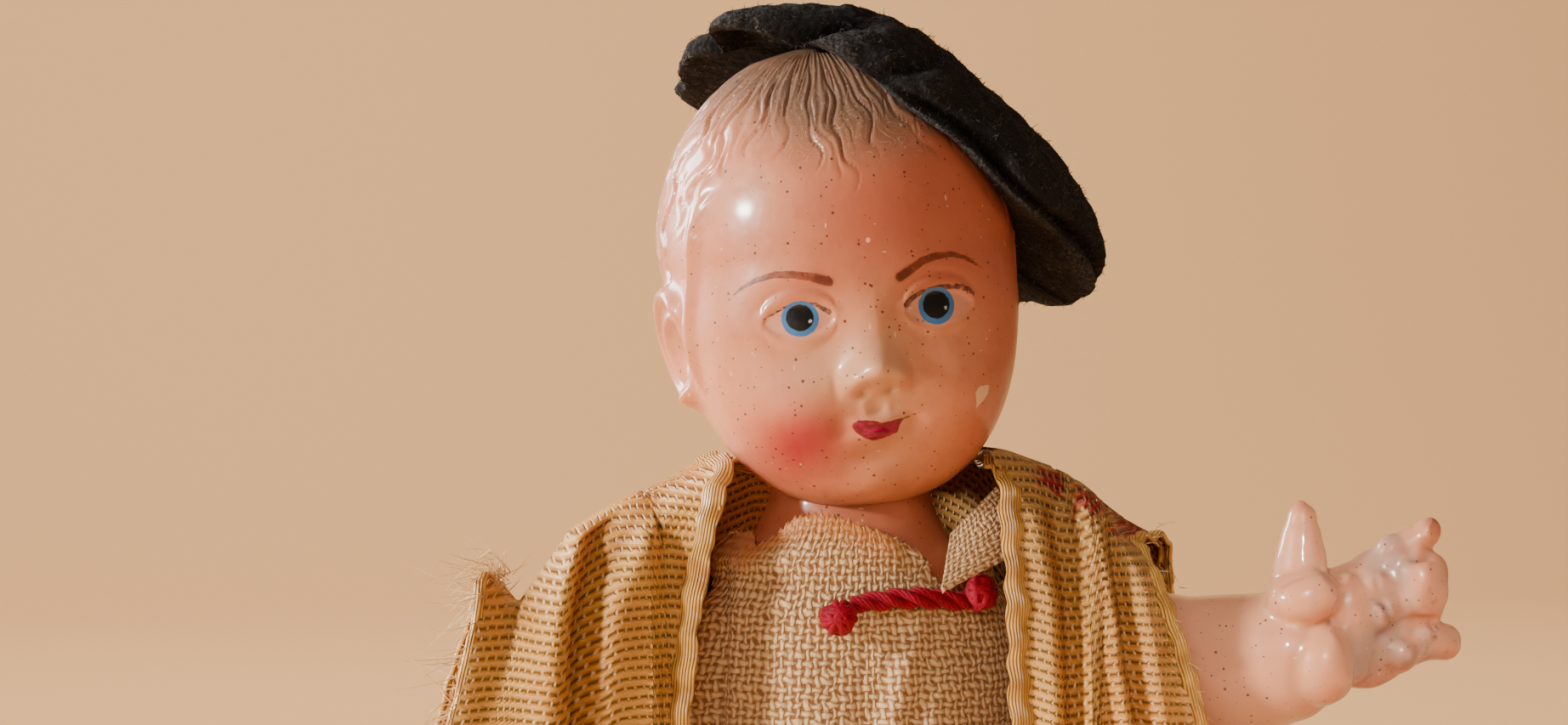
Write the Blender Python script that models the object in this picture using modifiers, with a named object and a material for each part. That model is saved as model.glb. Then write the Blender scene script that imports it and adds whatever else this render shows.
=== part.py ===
"""A small celluloid doll that stands on its moulded shoes.

It wears a beret, a linen shirt with a crimson closure, a ribbed jacket with wide sleeves, and
dark trousers. Metres, +Z up. The doll looks along -Y, and its left arm reaches out along +X. The origin lies on the floor,
under the middle of the whole figure's box.
"""

import math

import bmesh
import bpy
import numpy as np
from mathutils import Matrix, Vector

MM = 0.001

# Driving sizes
DOLL_HEIGHT = 150 * MM
GAP = 0.4 * MM
LINEN_THICKNESS = 0.7 * MM
JACKET_THICKNESS = 0.8 * MM
TROUSER_THICKNESS = 0.8 * MM
FELT_THICKNESS = 1.3 * MM
FROG_CORD_DIAMETER = 1.8 * MM
FROG_CORD_LENGTH = 8.2 * MM
FROG_KNOT_HEIGHT = 2.9 * MM

# The figure keeps its pose and proportions as shares of its height. One unit is a millimetre on a doll
# whose crown is 150 mm above the floor.
UNIT = DOLL_HEIGHT / 150

# Head: half-widths of the skull about its centre, and how far the chin and the nape hang below it
HEAD_CENTRE = (-1.3, -0.5, 134.0)
HEAD_ROLL = math.radians(6.3)
SKULL_SIDE = 14.0
SKULL_FRONT = 13.8
SKULL_BACK = 15.2
CROWN = 16.0
CHIN_DROP = 21.7
NAPE_DROP = 17.0
FACE_MIDDLE = -0.5
HEAD_AROUND = 38
HEAD_RINGS = 25

# Body rings: height, half-width and half-depth
BODY_RINGS = (
    (51.5, 11.2, 6.0),
    (54.0, 12.6, 7.8),
    (60.0, 13.0, 9.4),
    (68.0, 12.6, 9.8),
    (78.0, 12.5, 10.3),
    (90.0, 12.7, 10.1),
    (99.0, 12.6, 9.4),
    (105.0, 11.8, 8.5),
    (109.0, 9.8, 7.5),
    (111.5, 7.4, 6.7),
    (114.0, 6.4, 6.2),
    (120.0, 6.2, 6.0),
)
BODY_SQUARENESS = 2.3
BODY_AROUND = 20

# Arms: joints of the moulded pose, their radii, and the hands' fingers
SHOULDER_X = 15.2
SHOULDER_Z = 103.0
SHOULDER_RADIUS = 5.0
LEFT_ELBOW = (26.6, -3.0, 99.2)
LEFT_WRIST = (33.4, -8.0, 101.2)
LEFT_ELBOW_RADIUS = 6.8
LEFT_WRIST_RADIUS = 5.3
RIGHT_ELBOW = (-24.0, -1.0, 96.5)
RIGHT_WRIST = (-31.4, -2.4, 90.6)
RIGHT_ELBOW_RADIUS = 5.2
RIGHT_WRIST_RADIUS = 3.8
PALM_RADIUS = 5.1
FINGER_REACH = 3.9

# Legs and shoes
LEG_X = 7.0
HIP_Z = 45.5
KNEE_Z = 30.0
ANKLE_Z = 9.0
THIGH_RADIUS = 5.0
KNEE_RADIUS = 4.4
ANKLE_RADIUS = 3.6
SHOE_LENGTH = 21.0
SHOE_WIDTH = 10.4
SHOE_HEIGHT = 6.4
SHOE_FORWARD = 2.6

# Garment heights
TROUSER_TOP = 68.0
TROUSER_HEM = 8.5
TROUSER_LEG_RADIUS = 6.7
SHIRT_HEM = 61.0
COLLAR_TOP = 113.8
JACKET_HEM = 64.0
JACKET_SIDE = 16.8
JACKET_RIGHT_CUFF = -28.8
JACKET_LEFT_CUFF = 24.6
CUFF_SLANT = 0.28
LEFT_UNDERARM = 86.5
RIGHT_UNDERARM = 80.0
SLEEVE_FOLD = 0.55
HEM_SPARE = 24.0
NECK_HOLE_SIDE = 12.2
NECK_HOLE_DEPTH = 10.0

# Beret: which way its crown points, how far it sits from the skull's centre, how far its edge stands
# beyond the skull, and half its height
BERET_NORMAL = (0.57, 0.40, 0.72)
BERET_DISTANCE = 13.3
BERET_OVERHANG = 3.6
BERET_HALF_HEIGHT = 4.4


def remove_everything():
    for found in list(bpy.data.objects):
        bpy.data.objects.remove(found, do_unlink=True)


def collection(name):
    made = bpy.data.collections.new(name)
    bpy.context.scene.collection.children.link(made)
    return made


def material(name, colour, roughness):
    made = bpy.data.materials.new(name)
    made.use_nodes = True
    shader = made.node_tree.nodes["Principled BSDF"]
    shader.inputs["Base Color"].default_value = (*colour, 1.0)
    shader.inputs["Roughness"].default_value = roughness
    made.diffuse_color = (*colour, 1.0)
    return made


def add_object(name, mesh, home, finish=None):
    made = bpy.data.objects.new(name, mesh)
    home.objects.link(made)
    if finish is not None:
        mesh.materials.clear()
        mesh.materials.append(finish)
    return made


def add_cutter(name, mesh):
    made = add_object(name, mesh, CUTTERS)
    made.hide_render = True
    made.display_type = "WIRE"
    return made


def mesh_from(bm, name):
    bmesh.ops.recalc_face_normals(bm, faces=bm.faces)
    mesh = bpy.data.meshes.new(name)
    bm.to_mesh(mesh)
    bm.free()
    return mesh


def evaluated_mesh(made):
    graph = bpy.context.evaluated_depsgraph_get()
    return bpy.data.meshes.new_from_object(made.evaluated_get(graph))


def settle(made):
    """Turns an object's modifiers into its mesh, so that later cuts start from it."""
    weld = made.modifiers.new("weld", "WELD")
    weld.merge_threshold = 0.00002
    bpy.context.view_layer.update()
    mesh = evaluated_mesh(made)
    made.modifiers.clear()
    made.data = mesh
    return made


def boolean(made, other, operation):
    step = made.modifiers.new(f"{operation.lower()}_{other.name}", "BOOLEAN")
    step.object = other
    step.operation = operation
    step.solver = "EXACT"


def smoothstep(low, high, value):
    t = np.clip((value - low) / (high - low), 0.0, 1.0)
    return t * t * (3.0 - 2.0 * t)


def interpolate(rows, value, column):
    """Reads a column of a table of rows at a value of the first column, on a smooth curve."""
    known = [row[0] for row in rows]
    if value <= known[0]:
        return rows[0][column]
    if value >= known[-1]:
        return rows[-1][column]
    i = max(k for k in range(len(rows) - 1) if known[k] <= value)
    t = (value - known[i]) / (known[i + 1] - known[i])
    t = t * t * (3.0 - 2.0 * t) * 0.5 + t * 0.5
    return rows[i][column] * (1.0 - t) + rows[i + 1][column] * t


def loft(name, rings):
    """A closed body through rings of equally many points, each end closed by a fan about its middle."""
    bm = bmesh.new()
    rows = [[bm.verts.new(p) for p in ring] for ring in rings]
    count = len(rows[0])
    for lower, upper in zip(rows, rows[1:]):
        for i in range(count):
            j = (i + 1) % count
            bm.faces.new((lower[i], lower[j], upper[j], upper[i]))
    for row in (rows[0], rows[-1]):
        middle = sum((v.co for v in row), Vector()) / count
        hub = bm.verts.new(middle)
        for i in range(count):
            bm.faces.new((row[i], row[(i + 1) % count], hub))
    return mesh_from(bm, name)


def superellipse(angle, across, deep, squareness):
    c, s = math.cos(angle), math.sin(angle)
    x = across * math.copysign(abs(c) ** (2.0 / squareness), c)
    y = deep * math.copysign(abs(s) ** (2.0 / squareness), s)
    return x, y


# Head

def bump(x, z, centre_x, centre_z, spread_x, spread_z):
    return np.exp(-(((x - centre_x) / spread_x) ** 2) - (((z - centre_z) / spread_z) ** 2))


def face_relief(x, z):
    """How far the face stands forward of the plain skull, in units. x runs across it and z up."""
    side = np.abs(x)
    x = x - FACE_MIDDLE
    out = -1.15 * bump(side, z, 5.5, -5.4, 3.0, 2.3)
    out += 0.7 * bump(side, z, 5.5, -5.7, 1.9, 1.5)
    out += 0.35 * bump(side, z, 5.6, -2.0, 3.6, 1.3)
    out += 0.7 * bump(x, z, 0.0, -7.2, 1.5, 2.6)
    out += 2.4 * bump(x, z, 0.0, -10.0, 1.9, 1.9)
    out += 0.9 * bump(np.abs(x), z, 1.7, -11.1, 1.1, 1.0)
    out += 0.9 * bump(side, z, 6.5, -12.4, 3.6, 3.4)
    out += 0.6 * bump(x, z, 0.0, -14.8, 3.2, 2.4)
    out += 0.55 * bump(x, z, 0.0, -14.2, 2.1, 0.7)
    out += 0.6 * bump(x, z, 0.0, -15.7, 1.7, 0.7)
    out -= 0.35 * bump(np.abs(x), z, 3.1, -14.8, 0.9, 1.0)
    out -= 0.4 * bump(x, z, 0.0, -17.1, 2.0, 0.7)
    out += 0.9 * bump(x, z, 0.0, -19.0, 2.7, 1.7)
    return out


def ear_relief(y, z):
    """How far the ear stands out from the side of the head."""
    shell = np.exp(-(((y - 3.2) / 2.9) ** 4) - (((z + 6.3) / 4.9) ** 4))
    hollow = np.exp(-(((y - 2.6) / 1.5) ** 2) - (((z + 5.9) / 2.8) ** 2))
    return 1.3 * shell - 0.7 * hollow


def hair_relief(points):
    """Moulded locks that run from the crown down to the hairline and die out there."""
    x, y, z = points.T
    around = np.arctan2(x, -y)
    hairline = 9.5 - 6.0 * smoothstep(0.5, 1.3, np.abs(around))
    hairline -= 9.0 * smoothstep(1.5, 2.4, np.abs(around))
    strength = smoothstep(0.0, 3.0, z - hairline) * (1.0 - smoothstep(14.6, 15.8, z))
    return 0.28 * strength * np.cos(around * 16.0 + 0.25 * z)


def head_points(directions, swell=0.0):
    """The head's surface in the given directions from the skull's centre, in units, before it is rolled."""
    dx, dy, dz = directions.T
    front = smoothstep(0.5, -0.4, dy)
    low = NAPE_DROP + (CHIN_DROP - NAPE_DROP) * front
    squareness = 2.0 + (0.2 + 0.3 * front) * smoothstep(0.2, -0.3, dz)
    up = np.where(dz < 0.0, low, CROWN)
    deep = np.where(dy < 0.0, SKULL_FRONT, SKULL_BACK)
    total = np.abs(dx / SKULL_SIDE) ** squareness + np.abs(dy / deep) ** squareness
    total += np.abs(dz / up) ** squareness
    points = directions * (total ** (-1.0 / squareness))[:, None]
    x, y, z = points.T
    facing = smoothstep(-3.0, -7.5, y)
    forward = facing * face_relief(x, z)
    outward = np.sign(x) * smoothstep(9.0, 12.0, np.abs(x)) * ear_relief(y, z)
    points = points + directions * (hair_relief(points) + swell)[:, None]
    points[:, 1] -= forward
    points[:, 0] += outward
    return points


def place_head(points):
    """Rolls head points about the skull's centre and puts them on the figure, in metres."""
    c, s = math.cos(HEAD_ROLL), math.sin(HEAD_ROLL)
    x, y, z = points.T
    placed = np.stack((x * c - z * s, y, x * s + z * c), axis=1)
    return (placed + np.array(HEAD_CENTRE)) * UNIT


def head_mesh(name, around, rings, swell=0.0):
    """A sphere whose points are crowded towards the face and moved out to the head's surface."""
    bm = bmesh.new()
    bmesh.ops.create_uvsphere(bm, u_segments=around, v_segments=rings, radius=1.0)
    ball = np.array([v.co for v in bm.verts])
    turn = np.arctan2(ball[:, 0], -ball[:, 1])
    turn = turn - 0.5 * np.sin(turn)
    climb = np.arcsin(np.clip(ball[:, 2], -1.0, 1.0))
    climb = climb - 0.3 * np.cos(climb) ** 2
    flat = np.cos(climb)
    directions = np.stack((flat * np.sin(turn), -flat * np.cos(turn), np.sin(climb)), axis=1)
    placed = place_head(head_points(directions, swell / UNIT))
    for vert, point in zip(bm.verts, placed):
        vert.co = point
    return mesh_from(bm, name)


# Body

def body_ring(z, count, swell=0.0, low_swell=0.0):
    """A ring of points around the body at height z in units, swell metres outside its skin."""
    across = interpolate(BODY_RINGS, z, 1) * UNIT + swell + low_swell
    deep = interpolate(BODY_RINGS, z, 2) * UNIT + swell + low_swell
    ring = []
    for i in range(count):
        x, y = superellipse(2.0 * math.pi * i / count, across, deep, BODY_SQUARENESS)
        ring.append((x, y, z * UNIT))
    return ring


def make_body(skin):
    levels = [row[0] for row in BODY_RINGS]
    body = add_object("body", head_mesh("head", HEAD_AROUND, HEAD_RINGS), DOLL, skin)
    trunk = add_cutter("trunk", loft("trunk", [body_ring(z, BODY_AROUND) for z in levels]))
    boolean(body, trunk, "UNION")
    return settle(body)


# Limbs

def add_ball(bm, centre, radius, stretch=(1.0, 1.0, 1.0), tilt=0.0):
    place = Matrix.Translation(Vector(centre) * UNIT) @ Matrix.Rotation(tilt, 4, "Y")
    place = place @ Matrix.Diagonal((*(Vector(stretch) * radius * UNIT), 1.0))
    bmesh.ops.create_icosphere(bm, subdivisions=3, radius=1.0, matrix=place)


def add_limb(bm, start, end, start_radius, end_radius):
    """A tapered stretch with a ball at each end."""
    start, end = Vector(start), Vector(end)
    add_ball(bm, start, start_radius)
    add_ball(bm, end, end_radius)
    along = end - start
    turn = along.to_track_quat("Z", "Y").to_matrix().to_4x4()
    place = Matrix.Translation((start + end) * 0.5 * UNIT) @ turn
    bmesh.ops.create_cone(
        bm,
        cap_ends=True,
        segments=24,
        radius1=start_radius * UNIT,
        radius2=end_radius * UNIT,
        depth=along.length * UNIT,
        matrix=place,
    )


def melt(name, bm, voxel, smoothing, keep, finish):
    """Fuses overlapping shapes into one soft body and thins its mesh."""
    made = add_object(name, mesh_from(bm, name), DOLL, finish)
    remesh = made.modifiers.new("fuse", "REMESH")
    remesh.mode = "VOXEL"
    remesh.voxel_size = voxel * UNIT
    soften = made.modifiers.new("soften", "SMOOTH")
    soften.factor = 0.5
    soften.iterations = smoothing
    thin = made.modifiers.new("thin", "DECIMATE")
    thin.ratio = keep
    return settle(made)


def cut_by_body(made):
    """Parts a limb or a garment from the body by the gap between them."""
    levels = [row[0] for row in BODY_RINGS]
    rings = [body_ring(z, BODY_AROUND, GAP) for z in levels]
    cutter = add_cutter(f"{made.name}_clearance", loft("clearance", rings))
    boolean(made, cutter, "DIFFERENCE")
    return settle(made)


def make_left_arm(skin):
    """The bent arm, its open palm towards -Y and its thumb up."""
    bm = bmesh.new()
    shoulder = (SHOULDER_X, 0.0, SHOULDER_Z)
    add_limb(bm, shoulder, LEFT_ELBOW, SHOULDER_RADIUS, LEFT_ELBOW_RADIUS)
    add_limb(bm, LEFT_ELBOW, LEFT_WRIST, LEFT_ELBOW_RADIUS, LEFT_WRIST_RADIUS)
    palm = Vector(LEFT_WRIST) + Vector((6.0, -1.0, 2.6))
    add_ball(bm, palm, PALM_RADIUS, (1.05, 0.5, 1.0))
    heel = palm + Vector((-3.4, -0.8, -2.6))
    add_ball(bm, heel, 3.9)
    thumb_ball = palm + Vector((-5.0, -1.2, 1.5))
    add_ball(bm, thumb_ball, 2.8)
    thumb_root = palm + Vector((-4.8, -0.4, 3.0))
    thumb_end = thumb_root + Vector((0.1, 0.0, 5.1))
    add_limb(bm, thumb_root, thumb_end, 2.5, 1.35)
    add_ball(bm, thumb_end + Vector((0.0, 0.0, 1.1)), 0.65)
    fingers = (
        ((1.1, 3.8), (1.0, 0.82), 2.0, 1.6),
        ((1.6, 2.6), (0.85, 0.26), 2.4, 2.6),
        ((2.1, 1.0), (0.87, 0.15), 2.3, 2.2),
        ((1.4, -1.8), (1.46, 0.13), 2.3, 1.5),
    )
    for (side, rise), (out, up), root_radius, tip_radius in fingers:
        root = palm + Vector((side, 0.0, rise))
        tip = root + Vector((out, -0.05, up)) * FINGER_REACH
        add_limb(bm, root, tip, root_radius, tip_radius)
    arm = melt("arm_left", bm, 0.55, 4, 0.062, skin)
    return cut_by_body(arm)


def make_right_arm(skin):
    """The arm inside the wide sleeve, its hand low past the cuff."""
    bm = bmesh.new()
    shoulder = (-SHOULDER_X, 0.0, SHOULDER_Z)
    add_limb(bm, shoulder, RIGHT_ELBOW, SHOULDER_RADIUS, RIGHT_ELBOW_RADIUS)
    add_limb(bm, RIGHT_ELBOW, RIGHT_WRIST, RIGHT_ELBOW_RADIUS, RIGHT_WRIST_RADIUS)
    palm = Vector(RIGHT_WRIST) + Vector((-4.0, -0.6, -2.8))
    add_ball(bm, palm, PALM_RADIUS * 0.88, (0.6, 0.95, 1.1), math.radians(42))
    thumb_root = palm + Vector((1.5, -2.4, 1.8))
    add_limb(bm, thumb_root, thumb_root + Vector((-2.5, -1.6, -2.8)), 1.8, 1.3)
    for side, drop in ((-3.0, 0.6), (-1.1, 1.4), (0.8, 1.3), (2.6, 0.3)):
        root = palm + Vector((-1.8, side, -2.2))
        tip = root + Vector((-0.77, 0.0, -0.77)) * FINGER_REACH - Vector((0.0, 0.0, drop))
        add_limb(bm, root, tip, 1.6, 1.25)
    arm = melt("arm_right", bm, 0.6, 4, 0.062, skin)
    return cut_by_body(arm)


def make_leg(name, side, skin):
    """A leg moulded in one with its shoe, flat under the sole."""
    x = side * LEG_X
    bm = bmesh.new()
    add_limb(bm, (x, 0.0, HIP_Z), (x, -0.4, KNEE_Z), THIGH_RADIUS, KNEE_RADIUS)
    add_limb(bm, (x, -0.4, KNEE_Z), (x, 0.6, ANKLE_Z), KNEE_RADIUS, ANKLE_RADIUS)
    half_width = SHOE_WIDTH / 2.0
    reach = SHOE_LENGTH / 2.0 - half_width
    toe = (x + side * 0.8, -SHOE_FORWARD - reach, 0.0)
    heel = (x, -SHOE_FORWARD + reach, 0.0)
    rise = SHOE_HEIGHT / half_width
    add_ball(bm, toe, half_width, (1.0, 1.0, rise * 0.92))
    add_ball(bm, heel, half_width * 0.9, (1.0, 1.0, rise * 1.2))
    add_ball(bm, (x, -SHOE_FORWARD, 0.0), half_width * 0.92, (1.0, 1.5, rise * 1.05))
    leg = melt(name, bm, 0.8, 5, 0.075, skin)
    bm = bmesh.new()
    bmesh.ops.create_cube(bm, size=1.0)
    deep = 20.0 * UNIT
    bmesh.ops.scale(bm, vec=(deep, 3.0 * deep, deep), verts=bm.verts)
    bmesh.ops.translate(bm, vec=(x * UNIT, 0.0, -deep / 2.0), verts=bm.verts)
    boolean(leg, add_cutter(f"{name}_floor", mesh_from(bm, "floor")), "DIFFERENCE")
    return settle(leg)


# Trousers

def tube(name, x, low, high, low_radius, high_radius):
    bm = bmesh.new()
    place = Matrix.Translation((x, 0.0, (low + high) / 2.0))
    bmesh.ops.create_cone(
        bm,
        cap_ends=True,
        segments=14,
        radius1=low_radius,
        radius2=high_radius,
        depth=high - low,
        matrix=place,
    )
    return add_cutter(name, mesh_from(bm, name))


def make_trousers(cloth):
    """Two wide legs and a waist, with one cloth's thickness everywhere."""
    radius = TROUSER_LEG_RADIUS * UNIT
    hem = TROUSER_HEM * UNIT
    crotch = BODY_RINGS[0][0]
    past = 1.0 * UNIT
    levels = [row[0] for row in BODY_RINGS if row[0] < TROUSER_TOP]
    seat_drop = (GAP + TROUSER_THICKNESS) / UNIT
    heights = [crotch - seat_drop] + levels + [TROUSER_TOP]
    rings = [body_ring(z, BODY_AROUND, GAP + TROUSER_THICKNESS) for z in heights]
    trousers = add_object("trousers", loft("trousers", rings), DOLL, cloth)
    heights = [crotch - GAP / UNIT] + levels + [TROUSER_TOP + 1.0]
    rings = [body_ring(z, BODY_AROUND, GAP) for z in heights]
    inner = add_cutter("trouser_inside", loft("trouser_inside", rings))
    for side in (-1, 1):
        x = side * LEG_X * UNIT
        top = (crotch + 4.0) * UNIT
        wide = radius * 1.06
        boolean(trousers, tube(f"leg_outside{side}", x, hem, top, wide, radius), "UNION")
        thin = TROUSER_THICKNESS
        hollow = tube(f"leg_inside{side}", x, hem - past, top, wide - thin, radius - thin)
        boolean(inner, hollow, "UNION")
    settle(inner)
    boolean(trousers, inner, "DIFFERENCE")
    return settle(trousers)


# Shirt

def shirt_ease(z):
    """How loosely the shirt hangs off the body at a height, in units."""
    over_trousers = 1.0 - float(smoothstep(TROUSER_TOP - 2.0, TROUSER_TOP + 8.0, z))
    collar = float(smoothstep(COLLAR_TOP - 6.8, COLLAR_TOP - 3.8, z))
    return 1.35 * over_trousers + 0.9 * collar


def shirt_ring(z, count, swell):
    return body_ring(z, count, GAP + swell, shirt_ease(z) * UNIT)


def make_shirt(cloth):
    """A sleeveless linen shell with a standing collar that is open in a notch at the throat."""
    count = BODY_AROUND
    levels = (SHIRT_HEM, 68.0, 78.0, 99.0, 105.0, 109.0, 111.5, COLLAR_TOP)
    outer = [shirt_ring(z, count, LINEN_THICKNESS) for z in levels]
    inner_levels = (SHIRT_HEM - 1.0,) + levels[:-1] + (COLLAR_TOP + 1.0,)
    inner = [shirt_ring(z, count, 0.0) for z in inner_levels]
    shirt = add_object("shirt", loft("shirt", outer), DOLL, cloth)
    boolean(shirt, add_cutter("shirt_inside", loft("shirt_inside", inner)), "DIFFERENCE")
    for side in (-1, 1):
        bm = bmesh.new()
        add_ball(bm, (side * SHOULDER_X, 0.0, SHOULDER_Z), SHOULDER_RADIUS + 1.2, (1.5, 1.0, 1.0))
        boolean(shirt, add_cutter(f"armhole{side}", mesh_from(bm, "armhole")), "DIFFERENCE")
    bm = bmesh.new()
    notch = Matrix.Translation(Vector((4.4, -10.0, COLLAR_TOP + 1.4)) * UNIT)
    notch = notch @ Matrix.Rotation(math.radians(38), 4, "Y")
    bmesh.ops.create_cube(bm, size=9.4 * UNIT, matrix=notch)
    boolean(shirt, add_cutter("throat", mesh_from(bm, "throat")), "DIFFERENCE")
    return settle(shirt)


# Jacket

SHOULDER_LINE = (
    (-33.0, 105.5),
    (-29.0, 108.4),
    (-26.0, 107.6),
    (-22.5, 111.6),
    (-18.6, 113.8),
    (-14.4, 115.4),
    (-10.5, 117.2),
    (-6.0, 118.2),
    (6.0, 118.4),
    (12.5, 117.6),
    (16.5, 116.2),
    (19.5, 114.3),
    (22.3, 112.0),
    (25.5, 110.0),
    (28.0, 108.4),
    (30.0, 107.2),
)


# The jacket's open front: height, and where its two edges hang
FRONT_EDGES = (
    (60.0, -13.0, 9.6),
    (96.0, -13.4, 10.6),
    (106.0, -12.4, 10.4),
    (112.0, -11.4, 10.2),
    (121.0, -9.4, 10.0),
)


def jacket_section(x, shrink, count):
    """The jacket's closed outline in the plane at x units, shrunk by a distance in metres.

    Beyond the body's side it is the sleeve's own oval.
    """
    reach = abs(x)
    sleeve = float(smoothstep(JACKET_SIDE - 0.9, JACKET_SIDE + 0.9, reach))
    top = interpolate(SHOULDER_LINE, x, 1)
    underarm = LEFT_UNDERARM if x > 0 else RIGHT_UNDERARM
    bottom = (JACKET_HEM - HEM_SPARE) * (1.0 - sleeve) + underarm * sleeve
    outward = float(smoothstep(11.0, 23.0, reach))
    middle_y = 0.9 * (1.0 - outward) - (2.6 if x > 0 else 1.2) * outward
    front = 12.2 - 1.7 * outward
    back = 12.4 - 2.2 * outward
    squareness = 5.0 - 2.5 * float(smoothstep(9.0, 17.0, reach))
    middle_z = (top + bottom) / 2.0
    half = (top - bottom) / 2.0
    fold = SLEEVE_FOLD * math.sin(reach * 0.8) * float(smoothstep(11.0, 14.0, reach))
    slant = math.copysign(CUFF_SLANT, x) * float(smoothstep(18.0, 25.0, reach))
    ring = []
    for i in range(count):
        angle = 2.0 * math.pi * i / count
        deep = front if math.sin(angle) < 0 else back
        z, y = superellipse(angle, half * UNIT - shrink, (deep + fold) * UNIT - shrink, squareness)
        out = x * UNIT + slant * (half * UNIT - z)
        ring.append((out, middle_y * UNIT + y, middle_z * UNIT + z))
    return ring


def jacket_stations(start, end, step):
    """Planes along X, close together where the sleeves leave the body."""
    close = (-0.9, -0.3, 0.3, 0.9)
    stations = [start, end]
    for side in (-1, 1):
        stations += [side * (JACKET_SIDE + d) for d in close]
    count = int((end - start) / step)
    for i in range(1, count):
        x = start + (end - start) * i / count
        if min(abs(abs(x) - JACKET_SIDE - d) for d in close) > 0.9:
            stations.append(x)
    return sorted(stations)


def make_jacket(cloth):
    """An open-fronted shell whose wide sleeves run on from the shoulders."""
    count = 18
    stations = jacket_stations(JACKET_RIGHT_CUFF, JACKET_LEFT_CUFF, 2.6)
    outer = [jacket_section(x, 0.0, count) for x in stations]
    past = 1.5
    stations = [stations[0] - past] + stations + [stations[-1] + past]
    inner = [jacket_section(x, JACKET_THICKNESS, count) for x in stations]
    jacket = add_object("jacket", loft("jacket", outer), DOLL, cloth)

    bm = bmesh.new()
    low, high = (JACKET_HEM - HEM_SPARE - 2.0) * UNIT, JACKET_HEM * UNIT
    bmesh.ops.create_cube(bm, size=1.0)
    bmesh.ops.scale(bm, vec=((JACKET_SIDE * 2.0 + 4.0) * UNIT, 40.0 * UNIT, high - low), verts=bm.verts)
    bmesh.ops.translate(bm, vec=(0.0, 0.0, (low + high) / 2.0), verts=bm.verts)
    boolean(jacket, add_cutter("hem_opening", mesh_from(bm, "hem_opening")), "DIFFERENCE")

    rings = []
    for z, left, right in FRONT_EDGES:
        ring = ((left, -31.0), (right, -31.0), (right, -1.3), (left, -1.3))
        rings.append([(x * UNIT, y * UNIT, z * UNIT) for x, y in ring])
    boolean(jacket, add_cutter("front_opening", loft("front_opening", rings)), "DIFFERENCE")

    rings = []
    for z in (COLLAR_TOP - 5.8, COLLAR_TOP + 10.2):
        ring = []
        for i in range(32):
            angle = 2.0 * math.pi * i / 32
            x, y = superellipse(angle, NECK_HOLE_SIDE * UNIT, NECK_HOLE_DEPTH * UNIT, 2.4)
            ring.append((x, y + 0.6 * UNIT, z * UNIT))
        rings.append(ring)
    boolean(jacket, add_cutter("neck_hole", loft("neck_hole", rings)), "DIFFERENCE")
    boolean(jacket, add_cutter("jacket_inside", loft("jacket_inside", inner)), "DIFFERENCE")
    return settle(jacket)


# Beret

def beret_frame():
    """The beret's axes: away from the head, towards its drooping side, and to its back."""
    normal = Vector(BERET_NORMAL).normalized()
    droop = Vector((normal.z, 0.0, -normal.x)).normalized()
    return normal, droop, normal.cross(droop)


def beret_mesh(name, around, rings, shrink):
    """The slack pancake of the beret, its drooping side bent down and its edge gathered in soft pleats."""
    normal, droop, back = beret_frame()
    centre = Vector(HEAD_CENTRE) + normal * BERET_DISTANCE
    bm = bmesh.new()
    bmesh.ops.create_uvsphere(bm, u_segments=around, v_segments=rings, radius=1.0)
    for vert in bm.verts:
        x, y, z = vert.co
        turn = math.atan2(y, x)
        flat = math.hypot(x, y)
        front = max(0.0, -math.sin(turn))
        reach = (SKULL_BACK + BERET_OVERHANG) * (1.0 - 0.24 * front * front)
        reach += 0.45 * math.cos(7.0 * turn + 0.6)
        reach -= shrink / UNIT
        half = BERET_HALF_HEIGHT - shrink / UNIT
        flat = flat ** 0.72
        along = reach * flat * math.cos(turn)
        across = reach * flat * math.sin(turn)
        lift = half * math.copysign(abs(z) ** 0.9, z)
        lift -= 0.008 * max(0.0, along - 3.0) ** 2
        lift -= 0.03 * max(0.0, -along - 4.0) ** 2
        lift -= 0.034 * max(0.0, -across - 1.0) ** 2
        vert.co = (centre + droop * along + back * across + normal * lift) * UNIT
    return mesh_from(bm, name)


def make_beret(felt):
    """A hollow felt cap around the crown, a gap away from the head."""
    beret = add_object("beret", beret_mesh("beret", 32, 12, 0.0), DOLL, felt)
    inside = add_cutter("beret_inside", beret_mesh("beret_inside", 24, 10, FELT_THICKNESS))
    boolean(beret, inside, "DIFFERENCE")
    crown = add_cutter("beret_head", head_mesh("beret_head", HEAD_AROUND, HEAD_RINGS, GAP))
    boolean(beret, crown, "DIFFERENCE")
    return settle(beret)


# The closure on the shirt

FROG_DROP = 7.9
FROG_MIDDLE_X = 2.9
FROG_SAG = 0.35


def shirt_front(x, z):
    """The y of the shirt's outer face at x and z in units, in metres."""
    grow = GAP + LINEN_THICKNESS + shirt_ease(z) * UNIT
    across = interpolate(BODY_RINGS, z, 1) * UNIT + grow
    deep = interpolate(BODY_RINGS, z, 2) * UNIT + grow
    share = min(0.999, abs(x * UNIT) / across)
    return -deep * (1.0 - share ** BODY_SQUARENESS) ** (1.0 / BODY_SQUARENESS)


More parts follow.
